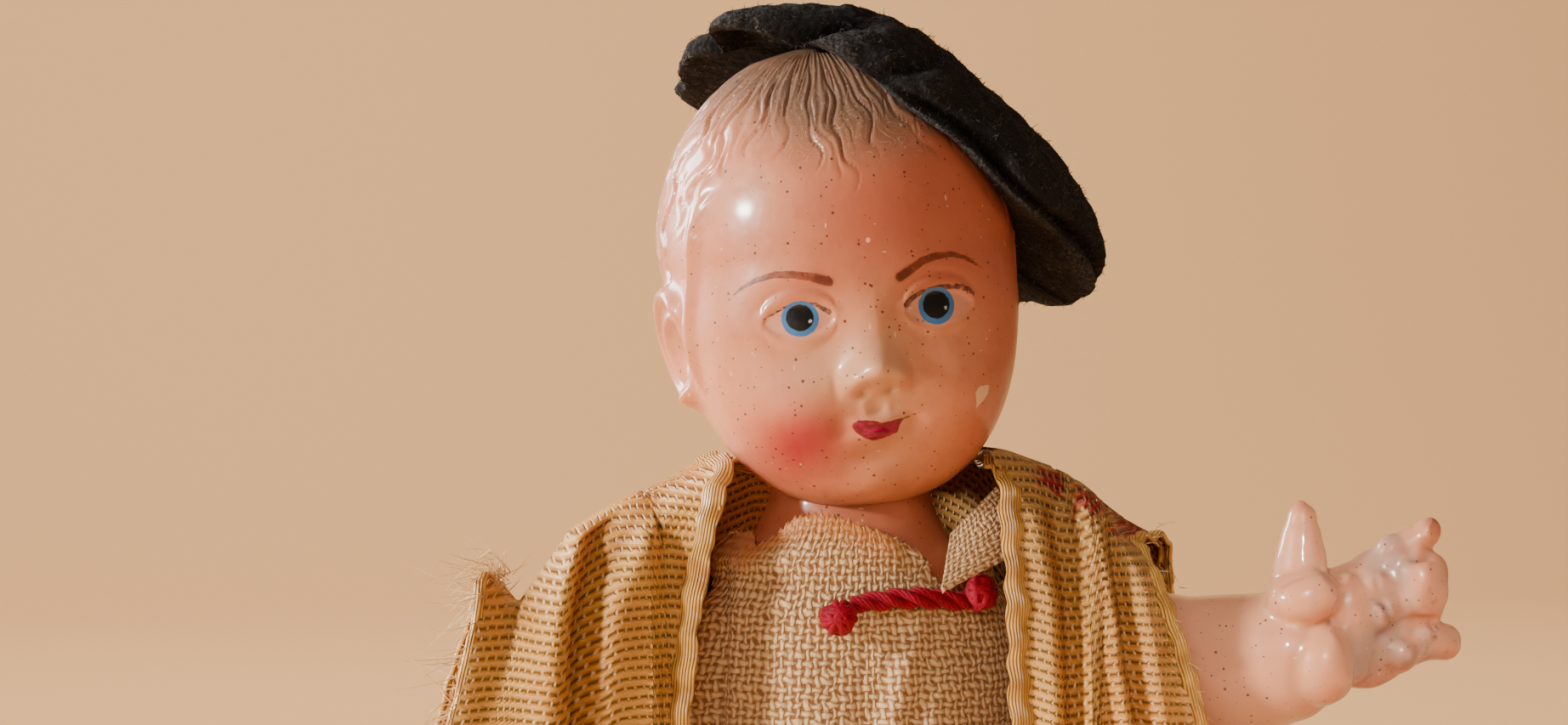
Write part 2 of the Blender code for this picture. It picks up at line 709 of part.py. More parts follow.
def make_frog(yarn):
    """Two wound knots and the twisted cord that loops between them."""
    radius = FROG_CORD_DIAMETER / 2.0
    half = FROG_CORD_LENGTH / 2.0
    knot = FROG_KNOT_HEIGHT / 2.0
    for name, side, lift in (("frog_knot_left", -1, -0.9), ("frog_knot_right", 1, 0.7)):
        x = FROG_MIDDLE_X * UNIT + side * (half + GAP + knot)
        z = (COLLAR_TOP - FROG_DROP + lift) * UNIT
        y = shirt_front(x / UNIT, z / UNIT) - GAP - knot
        bm = bmesh.new()
        place = Matrix.Translation((x, y, z)) @ Matrix.Diagonal((0.95, 0.9, 1.0, 1.0))
        bmesh.ops.create_icosphere(bm, subdivisions=2, radius=knot, matrix=place)
        add_object(name, mesh_from(bm, name), DOLL, yarn)
    curve = bpy.data.curves.new("frog_cord", "CURVE")
    curve.dimensions = "3D"
    curve.bevel_depth = radius
    curve.bevel_resolution = 2
    curve.use_fill_caps = True
    count = 9
    spline = curve.splines.new("POLY")
    spline.points.add(count - 1)
    for i, point in enumerate(spline.points):
        share = i / (count - 1)
        x = FROG_MIDDLE_X * UNIT + half * (2.0 * share - 1.0)
        z = (COLLAR_TOP - FROG_DROP + FROG_SAG * math.sin(math.pi * share)) * UNIT
        y = shirt_front(x / UNIT, z / UNIT) - GAP * 2.0 - radius
        point.co = (x, y, z, 1.0)
    route = add_object("frog_route", curve, CUTTERS)
    bpy.context.view_layer.update()
    mesh = evaluated_mesh(route)
    bm = bmesh.new()
    bm.from_mesh(mesh)
    bmesh.ops.remove_doubles(bm, verts=bm.verts, dist=0.00001)
    place = route.matrix_world.copy()
    bpy.data.objects.remove(route, do_unlink=True)
    cord = add_object("frog_cord", mesh_from(bm, "frog_cord"), DOLL, yarn)
    cord.matrix_world = place


def stand_over_origin():
    """Moves the whole doll so that the middle of its box is over the origin."""
    low = Vector((1e9, 1e9, 1e9))
    high = -low
    for made in DOLL.objects:
        for vert in made.data.vertices:
            for axis in range(3):
                low[axis] = min(low[axis], vert.co[axis])
                high[axis] = max(high[axis], vert.co[axis])
    shift = Matrix.Translation((-(low.x + high.x) / 2.0, -(low.y + high.y) / 2.0, 0.0))
    for made in DOLL.objects:
        made.data.transform(shift)


def shade():
    for made in DOLL.objects:
        made.data.shade_smooth()
        made.data.set_sharp_from_angle(angle=math.radians(40))


remove_everything()
DOLL = collection("celluloid_doll")
CUTTERS = collection("cutters")

CELLULOID = material("celluloid", (0.62, 0.33, 0.21), 0.25)
LINEN = material("linen", (0.56, 0.40, 0.25), 0.9)
STRAW_CLOTH = material("straw_cloth", (0.62, 0.40, 0.16), 0.75)
DARK_CLOTH = material("dark_cloth", (0.035, 0.034, 0.036), 0.95)
FELT = material("felt", (0.028, 0.025, 0.025), 0.95)
CRIMSON_YARN = material("crimson_yarn", (0.38, 0.01, 0.05), 0.7)

make_body(CELLULOID)
make_left_arm(CELLULOID)
make_right_arm(CELLULOID)
make_leg("leg_left", 1, CELLULOID)
make_leg("leg_right", -1, CELLULOID)
make_trousers(DARK_CLOTH)
make_shirt(LINEN)
make_jacket(STRAW_CLOTH)
make_beret(FELT)
make_frog(CRIMSON_YARN)
stand_over_origin()
shade()
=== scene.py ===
"""The looks of a small celluloid doll in a felt beret, a linen shirt and a ribbed straw-coloured jacket.

Sizes are in millimetres on the doll's own axis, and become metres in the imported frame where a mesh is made.
x runs to the doll's left, y to its back and z up.
"""

import math

import bmesh
import bpy
import numpy as np
from mathutils import Matrix, Vector


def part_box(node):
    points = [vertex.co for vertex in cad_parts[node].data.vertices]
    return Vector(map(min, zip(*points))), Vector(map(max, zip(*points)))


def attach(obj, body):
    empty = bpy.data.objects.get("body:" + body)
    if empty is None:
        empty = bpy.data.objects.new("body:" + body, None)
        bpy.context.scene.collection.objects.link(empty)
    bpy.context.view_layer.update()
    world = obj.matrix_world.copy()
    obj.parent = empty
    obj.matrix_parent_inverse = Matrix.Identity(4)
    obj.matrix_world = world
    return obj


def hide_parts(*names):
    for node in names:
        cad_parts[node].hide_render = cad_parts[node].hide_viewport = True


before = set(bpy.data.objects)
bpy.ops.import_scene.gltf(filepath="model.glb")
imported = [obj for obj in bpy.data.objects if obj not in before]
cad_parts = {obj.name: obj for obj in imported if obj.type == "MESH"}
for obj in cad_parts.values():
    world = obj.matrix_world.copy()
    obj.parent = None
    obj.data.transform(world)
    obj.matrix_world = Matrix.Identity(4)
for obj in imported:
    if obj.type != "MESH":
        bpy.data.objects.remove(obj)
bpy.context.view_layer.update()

low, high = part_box("trousers")
AXIS = np.array([(low[0] + high[0]) / 2.0, (low[1] + high[1]) / 2.0, 0.0])


# Numbers and curves

def ease(low, high, value):
    """Rises softly from 0 at low to 1 at high."""
    t = np.clip((value - low) / (high - low), 0.0, 1.0)
    return t * t * (3.0 - 2.0 * t)


def bell(value, middle, width):
    """1 at the middle, falling softly to either side."""
    return np.exp(-(((value - middle) / width) ** 2))


def bump(x, z, centre_x, centre_z, spread_x, spread_z):
    """The same in two directions."""
    return np.exp(-(((x - centre_x) / spread_x) ** 2) - (((z - centre_z) / spread_z) ** 2))


def wobble(points, size, seed):
    """A smooth, repeatable unevenness between about -1 and 1, with features of the given size."""
    rng = np.random.default_rng(seed)
    total = np.zeros(len(points))
    for _ in range(7):
        direction = rng.normal(size=points.shape[1])
        direction /= np.linalg.norm(direction)
        pace = 2.0 * math.pi / size * rng.uniform(0.6, 1.4)
        total += np.sin(points @ direction * pace + rng.uniform(0.0, 6.28))
    return total / 3.5


def travel(line):
    """How far along a line each of its points lies."""
    return np.concatenate(([0.0], np.cumsum(np.linalg.norm(np.diff(line, axis=0), axis=1))))


def circle(count):
    """Angles spread evenly once around."""
    return np.linspace(0.0, 2.0 * math.pi, count, endpoint=False)


def unit(vectors):
    """Rows of vectors, each brought to length 1."""
    return vectors / (np.linalg.norm(vectors, axis=1)[:, None] + 1e-12)


def along_line(points, line):
    """The distance of 2-D points from a line of corners, and how far along it each lies, from 0 to 1."""
    line = np.array(line, dtype=float)
    reach = travel(line)
    best = np.full(len(points), 1e9)
    place = np.zeros(len(points))
    for i in range(len(line) - 1):
        step = line[i + 1] - line[i]
        t = np.clip(((points - line[i]) @ step) / (step @ step), 0.0, 1.0)
        gap = np.linalg.norm(points - line[i] - t[:, None] * step, axis=1)
        nearer = gap < best
        best[nearer] = gap[nearer]
        place[nearer] = (reach[i] + t[nearer] * np.linalg.norm(step)) / reach[-1]
    return best, place


def stroke(points, line, widths):
    """Positive inside a painted stroke whose half-width follows the given values along it."""
    gap, place = along_line(points, line)
    half = np.interp(place, np.linspace(0.0, 1.0, len(widths)), widths)
    return half - gap


def patch(points, corners):
    """Positive inside a closed outline, negative outside it."""
    corners = list(corners)
    gap, _ = along_line(points, corners + corners[:1])
    inside = np.zeros(len(points), dtype=bool)
    x, z = points.T
    for (x0, z0), (x1, z1) in zip(corners, corners[1:] + corners[:1]):
        if z0 == z1:
            continue
        crosses = (z0 > z) != (z1 > z)
        inside ^= crosses & (x < (x1 - x0) * (z - z0) / (z1 - z0) + x0)
    return np.where(inside, gap, -gap)


VIEW_ANGLE = -10.0
VIEW_RISE = 1.0
VIEW_DISTANCE = 450.0
VIEW_ACROSS = -5.3
VIEW_HEIGHT = 124.7


def seen(x, y, z):
    """Where points appear, across and up, from the photograph's side, in millimetres at the doll's axis."""
    away = 0.174 * x + 0.985 * y
    nearer = VIEW_DISTANCE / (VIEW_DISTANCE + away)
    across = (0.985 * x - 0.174 * y - VIEW_ACROSS) * nearer + VIEW_ACROSS
    return across, VIEW_HEIGHT + (z - VIEW_HEIGHT) * nearer


def smooth_line(corners, count):
    """Points spread evenly along a smooth curve through the given corners."""
    corners = np.array(corners, dtype=float)
    padded = np.vstack((2 * corners[0] - corners[1], corners, 2 * corners[-1] - corners[-2]))
    dense = []
    for i in range(1, len(padded) - 2):
        p0, p1, p2, p3 = padded[i - 1:i + 3]
        t = np.linspace(0.0, 1.0, 12, endpoint=False)[:, None]
        a = 2.0 * p1 + (p2 - p0) * t
        b = (2.0 * p0 - 5.0 * p1 + 4.0 * p2 - p3) * t ** 2
        c = (3.0 * p1 - p0 - 3.0 * p2 + p3) * t ** 3
        dense.append(0.5 * (a + b + c))
    dense = np.vstack(dense + [corners[-1:]])
    reach = travel(dense)
    at = np.linspace(0.0, reach[-1], count)
    return np.stack([np.interp(at, reach, dense[:, k]) for k in range(dense.shape[1])], axis=1)


# Meshes

def grid_faces(rows, columns, wrap=False):
    """Quads over a grid of rows and columns, with the last column joined to the first if it wraps."""
    i, j = np.meshgrid(np.arange(rows - 1), np.arange(columns if wrap else columns - 1), indexing="ij")
    k = (j + 1) % columns
    quads = (i * columns + j, i * columns + k, (i + 1) * columns + k, (i + 1) * columns + j)
    return np.stack([q.ravel() for q in quads], axis=1)


def make_mesh(name, points, faces, values=None):
    """A mesh from points in millimetres and equally sided faces, with named values on its points."""
    mesh = bpy.data.meshes.new(name)
    placed = points * 0.001 + AXIS
    mesh.vertices.add(len(placed))
    mesh.vertices.foreach_set("co", placed.ravel())
    mesh.loops.add(faces.size)
    mesh.loops.foreach_set("vertex_index", faces.ravel().astype(np.int32))
    mesh.polygons.add(len(faces))
    mesh.polygons.foreach_set("loop_start", np.arange(0, faces.size, faces.shape[1], dtype=np.int32))
    for key, data in (values or {}).items():
        kind = "FLOAT_VECTOR" if data.ndim == 2 else "FLOAT"
        layer = mesh.attributes.new(key, kind, "POINT")
        layer.data.foreach_set("vector" if data.ndim == 2 else "value", data.ravel().astype(np.float32))
    mesh.update(calc_edges=True)
    mesh.validate()
    mesh.shade_smooth()
    return mesh


def add_object(name, data):
    thing = bpy.data.objects.new(name, data)
    bpy.context.scene.collection.objects.link(thing)
    return thing


def add_piece(name, mesh, finish):
    """Adds a piece of the doll, which all moves as one."""
    piece = add_object(name, mesh)
    mesh.materials.clear()
    mesh.materials.append(finish)
    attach(piece, "root")
    return piece


def thicken(piece, thickness):
    """Gives a cloth its thickness, to the inside."""
    solid = piece.modifiers.new("thickness", "SOLIDIFY")
    solid.thickness = thickness * 0.001
    solid.offset = -1.0
    solid.use_quality_normals = True


def tubes(paths, radius, sides=5, taper=0.0):
    """Thin closed-sided tubes along several paths of equally many points, as one set of points and faces."""
    all_points = []
    all_faces = []
    start = 0
    for path in paths:
        path = np.asarray(path, dtype=float)
        tangent = unit(np.gradient(path, axis=0))
        guide = np.array([0.0, 0.0, 1.0]) if abs(tangent[0][2]) < 0.9 else np.array([1.0, 0.0, 0.0])
        side = unit(np.cross(tangent, guide))
        other = np.cross(tangent, side)
        thin = radius * (1.0 - taper * np.linspace(0.0, 1.0, len(path)) ** 1.5)
        angle = circle(sides)
        ring = np.cos(angle)[None, :, None] * side[:, None, :]
        ring = ring + np.sin(angle)[None, :, None] * other[:, None, :]
        points = path[:, None, :] + ring * thin[:, None, None]
        all_points.append(points.reshape(-1, 3))
        all_faces.append(grid_faces(len(path), sides, wrap=True) + start)
        start += len(path) * sides
    return np.vstack(all_points), np.vstack(all_faces)


# Materials

class Nodes:
    """Short words for the node trees below. A value is a socket or a plain number."""

    def __init__(self, name):
        self.material = bpy.data.materials.new(name)
        self.material.use_nodes = True
        self.tree = self.material.node_tree
        self.shader = self.tree.nodes["Principled BSDF"]

    def node(self, kind, **settings):
        made = self.tree.nodes.new(kind)
        for key, value in settings.items():
            setattr(made, key, value)
        return made

    def put(self, socket, value):
        if isinstance(value, bpy.types.NodeSocket):
            self.tree.links.new(value, socket)
        elif isinstance(value, tuple) and len(value) == 3 and len(socket.default_value) == 4:
            socket.default_value = (*value, 1.0)
        else:
            socket.default_value = value

    def set(self, **values):
        for key, value in values.items():
            self.put(self.shader.inputs[key.replace("_", " ")], value)

    def attribute(self, name, vector=False):
        made = self.node("ShaderNodeAttribute", attribute_name=name)
        return made.outputs["Vector" if vector else "Fac"]

    def place(self):
        return self.node("ShaderNodeTexCoord").outputs["Object"]

    def math(self, operation, a, b=0.0, c=0.0):
        made = self.node("ShaderNodeMath", operation=operation)
        for socket, value in zip(made.inputs, (a, b, c)):
            self.put(socket, value)
        return made.outputs[0]

    def times(self, a, b):
        return self.math("MULTIPLY", a, b)

    def minus(self, a, b):
        return self.math("SUBTRACT", a, b)

    def split(self, vector):
        made = self.node("ShaderNodeSeparateXYZ")
        self.put(made.inputs[0], vector)
        return made.outputs

    def ramp(self, value, low, high, out_low=0.0, out_high=1.0):
        made = self.node("ShaderNodeMapRange", interpolation_type="SMOOTHSTEP")
        for socket, number in zip(made.inputs[:5], (value, low, high, out_low, out_high)):
            self.put(socket, number)
        return made.outputs[0]

    def mix(self, share, a, b):
        made = self.node("ShaderNodeMix", data_type="RGBA")
        self.put(made.inputs["Factor"], share)
        self.put(made.inputs[6], a)
        self.put(made.inputs[7], b)
        return made.outputs[2]

    def noise(self, vector, scale, detail=3.0, roughness=0.55):
        made = self.node("ShaderNodeTexNoise")
        self.put(made.inputs["Vector"], vector)
        self.put(made.inputs["Scale"], scale)
        self.put(made.inputs["Detail"], detail)
        self.put(made.inputs["Roughness"], roughness)
        return made.outputs["Fac"]

    def cells(self, vector, scale):
        made = self.node("ShaderNodeTexVoronoi")
        self.put(made.inputs["Vector"], vector)
        self.put(made.inputs["Scale"], scale)
        return made.outputs["Distance"], made.outputs["Color"]

    def stretch(self, vector, x, y, z):
        made = self.node("ShaderNodeMapping")
        self.put(made.inputs["Vector"], vector)
        made.inputs["Scale"].default_value = (x, y, z)
        return made.outputs[0]

    def relief(self, height, distance, strength=1.0, under=None):
        made = self.node("ShaderNodeBump")
        self.put(made.inputs["Height"], height)
        made.inputs["Distance"].default_value = distance * 0.001
        made.inputs["Strength"].default_value = strength
        if under is not None:
            self.put(made.inputs["Normal"], under)
        return made.outputs[0]

    def thread(self, across, along, swing, width):
        """The height of one set of threads: round across, rising and sinking along."""
        middle = self.math("ABSOLUTE", self.minus(self.math("FRACT", across), 0.5))
        share = self.math("DIVIDE", middle, width * 0.5)
        profile = self.math("MAXIMUM", self.minus(1.0, self.math("POWER", share, 2.0)), 0.0)
        turn = self.math("ADD", along, self.math("FLOOR", across))
        turn = self.times(self.minus(turn, 0.5), math.pi)
        wave = self.math("MULTIPLY_ADD", self.math("COSINE", turn), swing, 0.6)
        return self.times(self.math("SQRT", profile), wave), profile

    def weave(self, coordinates, pitch_across, pitch_up, width_warp, width_weft, stray):
        """Warp and weft of a plain weave: the height of the upper thread, and the open part between them."""
        uneven = self.noise(coordinates, 0.5 / pitch_up, 2.0)
        uneven = self.times(self.minus(uneven, 0.5), stray)
        u, v, _ = self.split(coordinates)
        u = self.math("ADD", self.math("DIVIDE", u, pitch_across), uneven)
        v = self.minus(self.math("DIVIDE", v, pitch_up), uneven)
        warp, warp_profile = self.thread(u, v, 0.4, width_warp)
        weft, weft_profile = self.thread(v, u, -0.4, width_weft)
        height = self.math("MAXIMUM", warp, weft)
        cover = self.math("MAXIMUM", warp_profile, weft_profile)
        on_top = self.math("GREATER_THAN", warp, weft)
        return height, cover, on_top


def celluloid(name, painted):
    """Glossy flesh-coloured celluloid, speckled and yellowed; with the face's paint where it has a face, and
    colour that stands in for light: painted shade away from the lamp, in hollows and creases and under the
    hand, and a painted light on the nose and the lit cheek.
    """
    n = Nodes(name)
    place = n.place()
    broad = n.noise(place, 90.0, 2.0)
    if painted:
        colour = n.mix(broad, (0.70, 0.275, 0.14), (0.60, 0.19, 0.085))
        mottled = n.ramp(n.noise(place, 420.0, 4.0, 0.65), 0.42, 0.7)
        colour = n.mix(n.times(mottled, 0.35), colour, (0.44, 0.135, 0.065))
    else:
        colour = n.mix(broad, (0.76, 0.35, 0.19), (0.66, 0.26, 0.135))
    if painted:
        # Painted shade, a darker orange-brown: on the side away from the lamp, low on the cheeks, at the
        # temple under the beret, above the eyes, on the forehead's middle, in the ear's hollow and on the
        # neck.
        warm = n.ramp(n.attribute("warm_shade"), 0.0, 1.0)
        colour = n.mix(n.times(warm, 0.82), colour, (0.45, 0.10, 0.055))
        colour = n.mix(n.times(n.attribute("blush"), 0.95), colour, (0.46, 0.015, 0.03))
        # Painted light: lighter down the nose and on the lit cheek below the eye.
        colour = n.mix(n.times(n.attribute("pale"), 0.6), colour, (0.74, 0.42, 0.235))
        strands = n.noise(n.stretch(n.attribute("hair_coordinates", True), 2.2, 0.25, 1.0), 1.0, 4.0, 0.7)
        painted_hair = n.times(n.attribute("hair"), n.ramp(strands, 0.1, 0.45))
        colour = n.mix(n.times(painted_hair, 0.9), colour, (0.145, 0.092, 0.062))
        curls = n.noise(n.stretch(n.attribute("hair_coordinates", True), 1.0, 0.6, 1.0), 0.9, 1.0)
        curl = n.math("LESS_THAN", n.math("PINGPONG", n.times(curls, 12.0), 0.5), 0.045)
        curl = n.times(curl, n.ramp(n.attribute("hair"), 0.02, 0.5))
        colour = n.mix(n.times(curl, 0.5), colour, (0.62, 0.45, 0.32))
        # Painted shade in the hair's grooves, in the nostrils and beside the nose's wings.
        groove = n.times(n.attribute("groove"), 0.35)
        colour = n.mix(groove, colour, (0.21, 0.085, 0.04))
    else:
        stains = n.ramp(n.noise(place, 330.0, 4.0, 0.7), 0.56, 0.72)
        mauve = n.ramp(n.noise(place, 160.0, 3.0), 0.35, 0.65)
        mauve = n.times(mauve, n.attribute("stained"))
        colour = n.mix(n.times(mauve, 0.75), colour, (0.34, 0.22, 0.175))
        colour = n.mix(n.times(stains, n.attribute("stained")), colour, (0.17, 0.09, 0.065))
        # Red on the worn fingertips, and painted shade under the hand.
        colour = n.mix(n.times(n.attribute("worn"), 0.8), colour, (0.50, 0.06, 0.025))
        # Painted shade in the hand's creases.
        colour = n.mix(n.times(n.attribute("groove"), 0.65), colour, (0.22, 0.075, 0.045))

    spots, chance = n.cells(place, 2100.0)
    first, second, _ = n.split(chance)
    few = n.math("GREATER_THAN", first, 0.62)
    size = n.math("MULTIPLY_ADD", n.math("POWER", second, 2.5), 0.17, 0.1)
    dark = n.times(n.math("LESS_THAN", spots, size), few)
    colour = n.mix(n.times(dark, 0.85), colour, (0.07, 0.025, 0.015))
    marks, chance = n.cells(n.stretch(place, 1.0, 1.0, 0.3), 900.0)
    upright = n.times(n.math("LESS_THAN", marks, 0.075), n.math("GREATER_THAN", n.split(chance)[0], 0.72))
    marks, chance = n.cells(n.stretch(place, 0.3, 0.8, 1.0), 1100.0)
    level = n.times(n.math("LESS_THAN", marks, 0.07), n.math("GREATER_THAN", n.split(chance)[0], 0.6))
    scratch = n.math("MAXIMUM", upright, level)
    colour = n.mix(n.times(scratch, 0.6), colour, (0.84, 0.60, 0.42))
    roughness = n.ramp(n.noise(place, 700.0, 3.0), 0.3, 0.75, 0.36, 0.52)

    if painted:
        edge = n.math("MULTIPLY_ADD", n.noise(place, 2600.0, 3.0), 0.16, -0.08)

        def paint(layer, share, tone, under, soft=0.035):
            inside = n.math("ADD", n.attribute(layer), edge)
            return n.mix(n.times(n.ramp(inside, -soft, soft), share), under, tone)

        worn = n.ramp(n.noise(place, 1500.0, 4.0, 0.7), 0.35, 0.6, 0.7, 1.0)
        colour = paint("eye_white", 0.4, (0.74, 0.36, 0.26), colour, 0.25)
        colour = paint("brow", worn, (0.17, 0.033, 0.014), colour)
        colour = paint("brow_end", 0.8, (0.10, 0.015, 0.008), colour, 0.25)
        colour = paint("lash", worn, (0.06, 0.014, 0.008), colour)
        colour = paint("iris", 1.0, (0.05, 0.165, 0.37), colour)
        colour = paint("pupil", 1.0, (0.006, 0.005, 0.005), colour)
        colour = paint("speck", 0.9, (0.52, 0.48, 0.44), colour)
        colour = paint("speck_centre", 0.8, (0.05, 0.04, 0.04), colour, 0.03)
        streaks = n.noise(n.stretch(place, 1.0, 1.0, 2.5), 1500.0, 3.0)
        red = n.mix(n.ramp(streaks, 0.35, 0.7), (0.18, 0.0, 0.016), (0.40, 0.0005, 0.05))
        colour = paint("lips", 1.0, red, colour)
        colour = paint("lip_line", 0.7, (0.12, 0.0, 0.006), colour)
        colour = paint("chip", 0.9, (0.80, 0.50, 0.31), colour)
        roughness = n.mix(n.ramp(n.attribute("lips"), -0.02, 0.05), roughness, (0.28, 0.28, 0.28))

    fine = n.noise(place, 1900.0, 3.0)
    pits = n.times(dark, -1.0)
    waves = n.noise(place, 260.0, 2.0)
    normal = n.relief(waves, 0.35, 0.35)
    normal = n.relief(fine, 0.035, 0.5, normal)
    normal = n.relief(pits, 0.03, 0.6, normal)
    n.set(Base_Color=colour, Roughness=roughness, Normal=normal)
    n.set(Coat_Weight=0.45 if painted else 1.0, Coat_Roughness=0.14 if painted else 0.07)
    n.set(Subsurface_Weight=0.2, Subsurface_Scale=0.0022)
    n.shader.inputs["Subsurface Radius"].default_value = (1.0, 0.38, 0.2)
    n.set(Specular_IOR_Level=0.42)
    return n.material


def linen():
    """A coarse plain weave of uneven threads, with painted shade low between the threads and in the open
    gaps; its stained edge is stiff and smooth with glue.
    """
    n = Nodes("linen")
    place = n.place()
    cloth = n.attribute("weave", True)
    height, cover, on_top = n.weave(cloth, 0.7, 0.66, 0.62, 0.72, 1.5)
    slub = n.noise(n.stretch(cloth, 0.35, 1.6, 1.0), 1.0, 3.0)
    tone = n.mix(slub, (0.74, 0.43, 0.19), (0.92, 0.65, 0.35))
    tone = n.mix(n.times(on_top, 0.25), tone, (0.88, 0.62, 0.34))
    # Painted shade where the threads sink, and darker still in the open gaps between them.
    tone = n.mix(n.ramp(height, 0.25, 0.85), (0.48, 0.235, 0.085), tone)
    gap_shade = n.ramp(cover, 0.0, 0.25)
    tone = n.mix(gap_shade, (0.27, 0.115, 0.04), tone)
    grime = n.ramp(n.noise(place, 120.0, 4.0), 0.5, 0.75)
    tone = n.mix(n.times(grime, 0.3), tone, (0.46, 0.28, 0.14))
    glue = n.attribute("stain")
    tone = n.mix(n.times(glue, 0.85), tone, (0.44, 0.125, 0.016))
    fibres = n.noise(n.stretch(cloth, 9.0, 9.0, 1.0), 1.0, 4.0, 0.7)
    total = n.math("MULTIPLY_ADD", fibres, 0.16, height)
    total = n.times(total, n.ramp(glue, 0.0, 1.0, 1.0, 0.3))
    rough = n.ramp(glue, 0.3, 0.9, 0.78, 0.36)
    n.set(Base_Color=tone, Roughness=rough, Normal=n.relief(total, 0.3, 1.0))
    n.set(Sheen_Weight=0.1, Sheen_Roughness=0.5, Specular_IOR_Level=0.4)
    return n.material


def straw_cloth():
    """Cords side by side, bound by thin threads that show as short ticks between them; painted shade where
    the cords sink, a painted highlight on the ticks, and painted shade on the far side and in the fold
    hollows.
    """
    n = Nodes("straw_cloth")
    place = n.place()
    cloth = n.attribute("weave", True)
    u, v, _ = n.split(cloth)
    uneven = n.minus(n.noise(cloth, 0.8, 2.0), 0.5)
    v = n.math("MULTIPLY_ADD", uneven, 0.35, n.math("DIVIDE", v, RIB_PITCH))
    row = n.math("FLOOR", n.math("ADD", v, 0.5))
    u = n.math("MULTIPLY_ADD", uneven, 0.7, n.math("DIVIDE", u, TICK_PITCH))
    u = n.math("MULTIPLY_ADD", row, 0.5, u)
    from_rib = n.times(n.math("ABSOLUTE", n.minus(n.math("FRACT", v), 0.5)), 2.0)
    rib = n.minus(1.0, n.math("POWER", from_rib, 1.8))
    from_gap = n.minus(1.0, from_rib)
    from_tick = n.math("ABSOLUTE", n.minus(n.math("FRACT", u), 0.5))
    tick = n.minus(1.0, n.math("POWER", n.math("DIVIDE", from_tick, 0.21), 2.0))
    reach = n.minus(1.0, n.math("POWER", n.math("DIVIDE", from_gap, 0.8), 2.0))
    tick = n.math("SQRT", n.math("MAXIMUM", n.times(n.math("MAXIMUM", tick, 0.0), reach), 0.0))
    height = n.math("MAXIMUM", n.times(rib, 0.8), tick)
    strand = n.noise(n.stretch(cloth, 0.9, 9.0, 1.0), 1.0, 3.0, 0.6)
    tone = n.mix(strand, (0.66, 0.27, 0.04), (0.92, 0.51, 0.13))
    broad = n.noise(place, 130.0, 3.0)
    tone = n.mix(n.ramp(broad, 0.42, 0.7, 0.0, 0.6), tone, (0.56, 0.21, 0.035))
    # Painted shade on the doll's left, high up, away from the lamp.
    tone = n.mix(n.times(n.attribute("far_side_shade"), 0.6), tone, (0.32, 0.16, 0.05))
    # Painted shade in the hollows beside the folds.
    tone = n.mix(n.times(n.attribute("valley_shade"), 0.8), tone, (0.40, 0.125, 0.012))
    tone = n.mix(n.attribute("flower"), tone, (0.32, 0.008, 0.010))
    # Painted shade where the cords sink towards their gaps.
    tone = n.mix(n.ramp(height, 0.05, 0.7), n.mix(0.66, tone, (0.12, 0.035, 0.005)), tone)
    # Painted highlight on the raised ticks.
    tone = n.mix(n.times(tick, 0.55), tone, n.mix(0.6, tone, (0.92, 0.68, 0.36)))
    total = n.math("MULTIPLY_ADD", strand, 0.22, height)
    n.set(Base_Color=tone, Roughness=n.ramp(strand, 0.2, 0.8, 0.58, 0.36), Normal=n.relief(total, 0.42, 1.0))
    n.set(Specular_IOR_Level=0.45)
    return n.material


def ribbon_cloth():
    """The jacket's woven edge: fine shiny cords that run along it, with painted shade between them."""
    n = Nodes("selvedge")
    cloth = n.attribute("weave", True)
    u = n.split(cloth)[0]
    cords = n.math("ABSOLUTE", n.math("SINE", n.times(u, math.pi / 0.24)))
    strand = n.noise(n.stretch(cloth, 7.0, 0.45, 1.0), 1.0, 3.0, 0.6)
    tone = n.mix(strand, (0.72, 0.33, 0.05), (0.95, 0.56, 0.16))
    patches = n.ramp(n.noise(n.stretch(cloth, 0.2, 0.35, 1.0), 1.0, 2.0), 0.45, 0.62)
    tone = n.mix(n.times(patches, 0.6), tone, (0.52, 0.21, 0.04))
    # Painted shade between the cords.
    tone = n.mix(n.times(n.minus(1.0, cords), 0.45), tone, (0.28, 0.12, 0.025))
    total = n.math("MULTIPLY_ADD", strand, 0.4, cords)
    n.set(Base_Color=tone, Roughness=0.4, Normal=n.relief(total, 0.16, 1.0))
    n.set(Specular_IOR_Level=0.5)
    return n.material


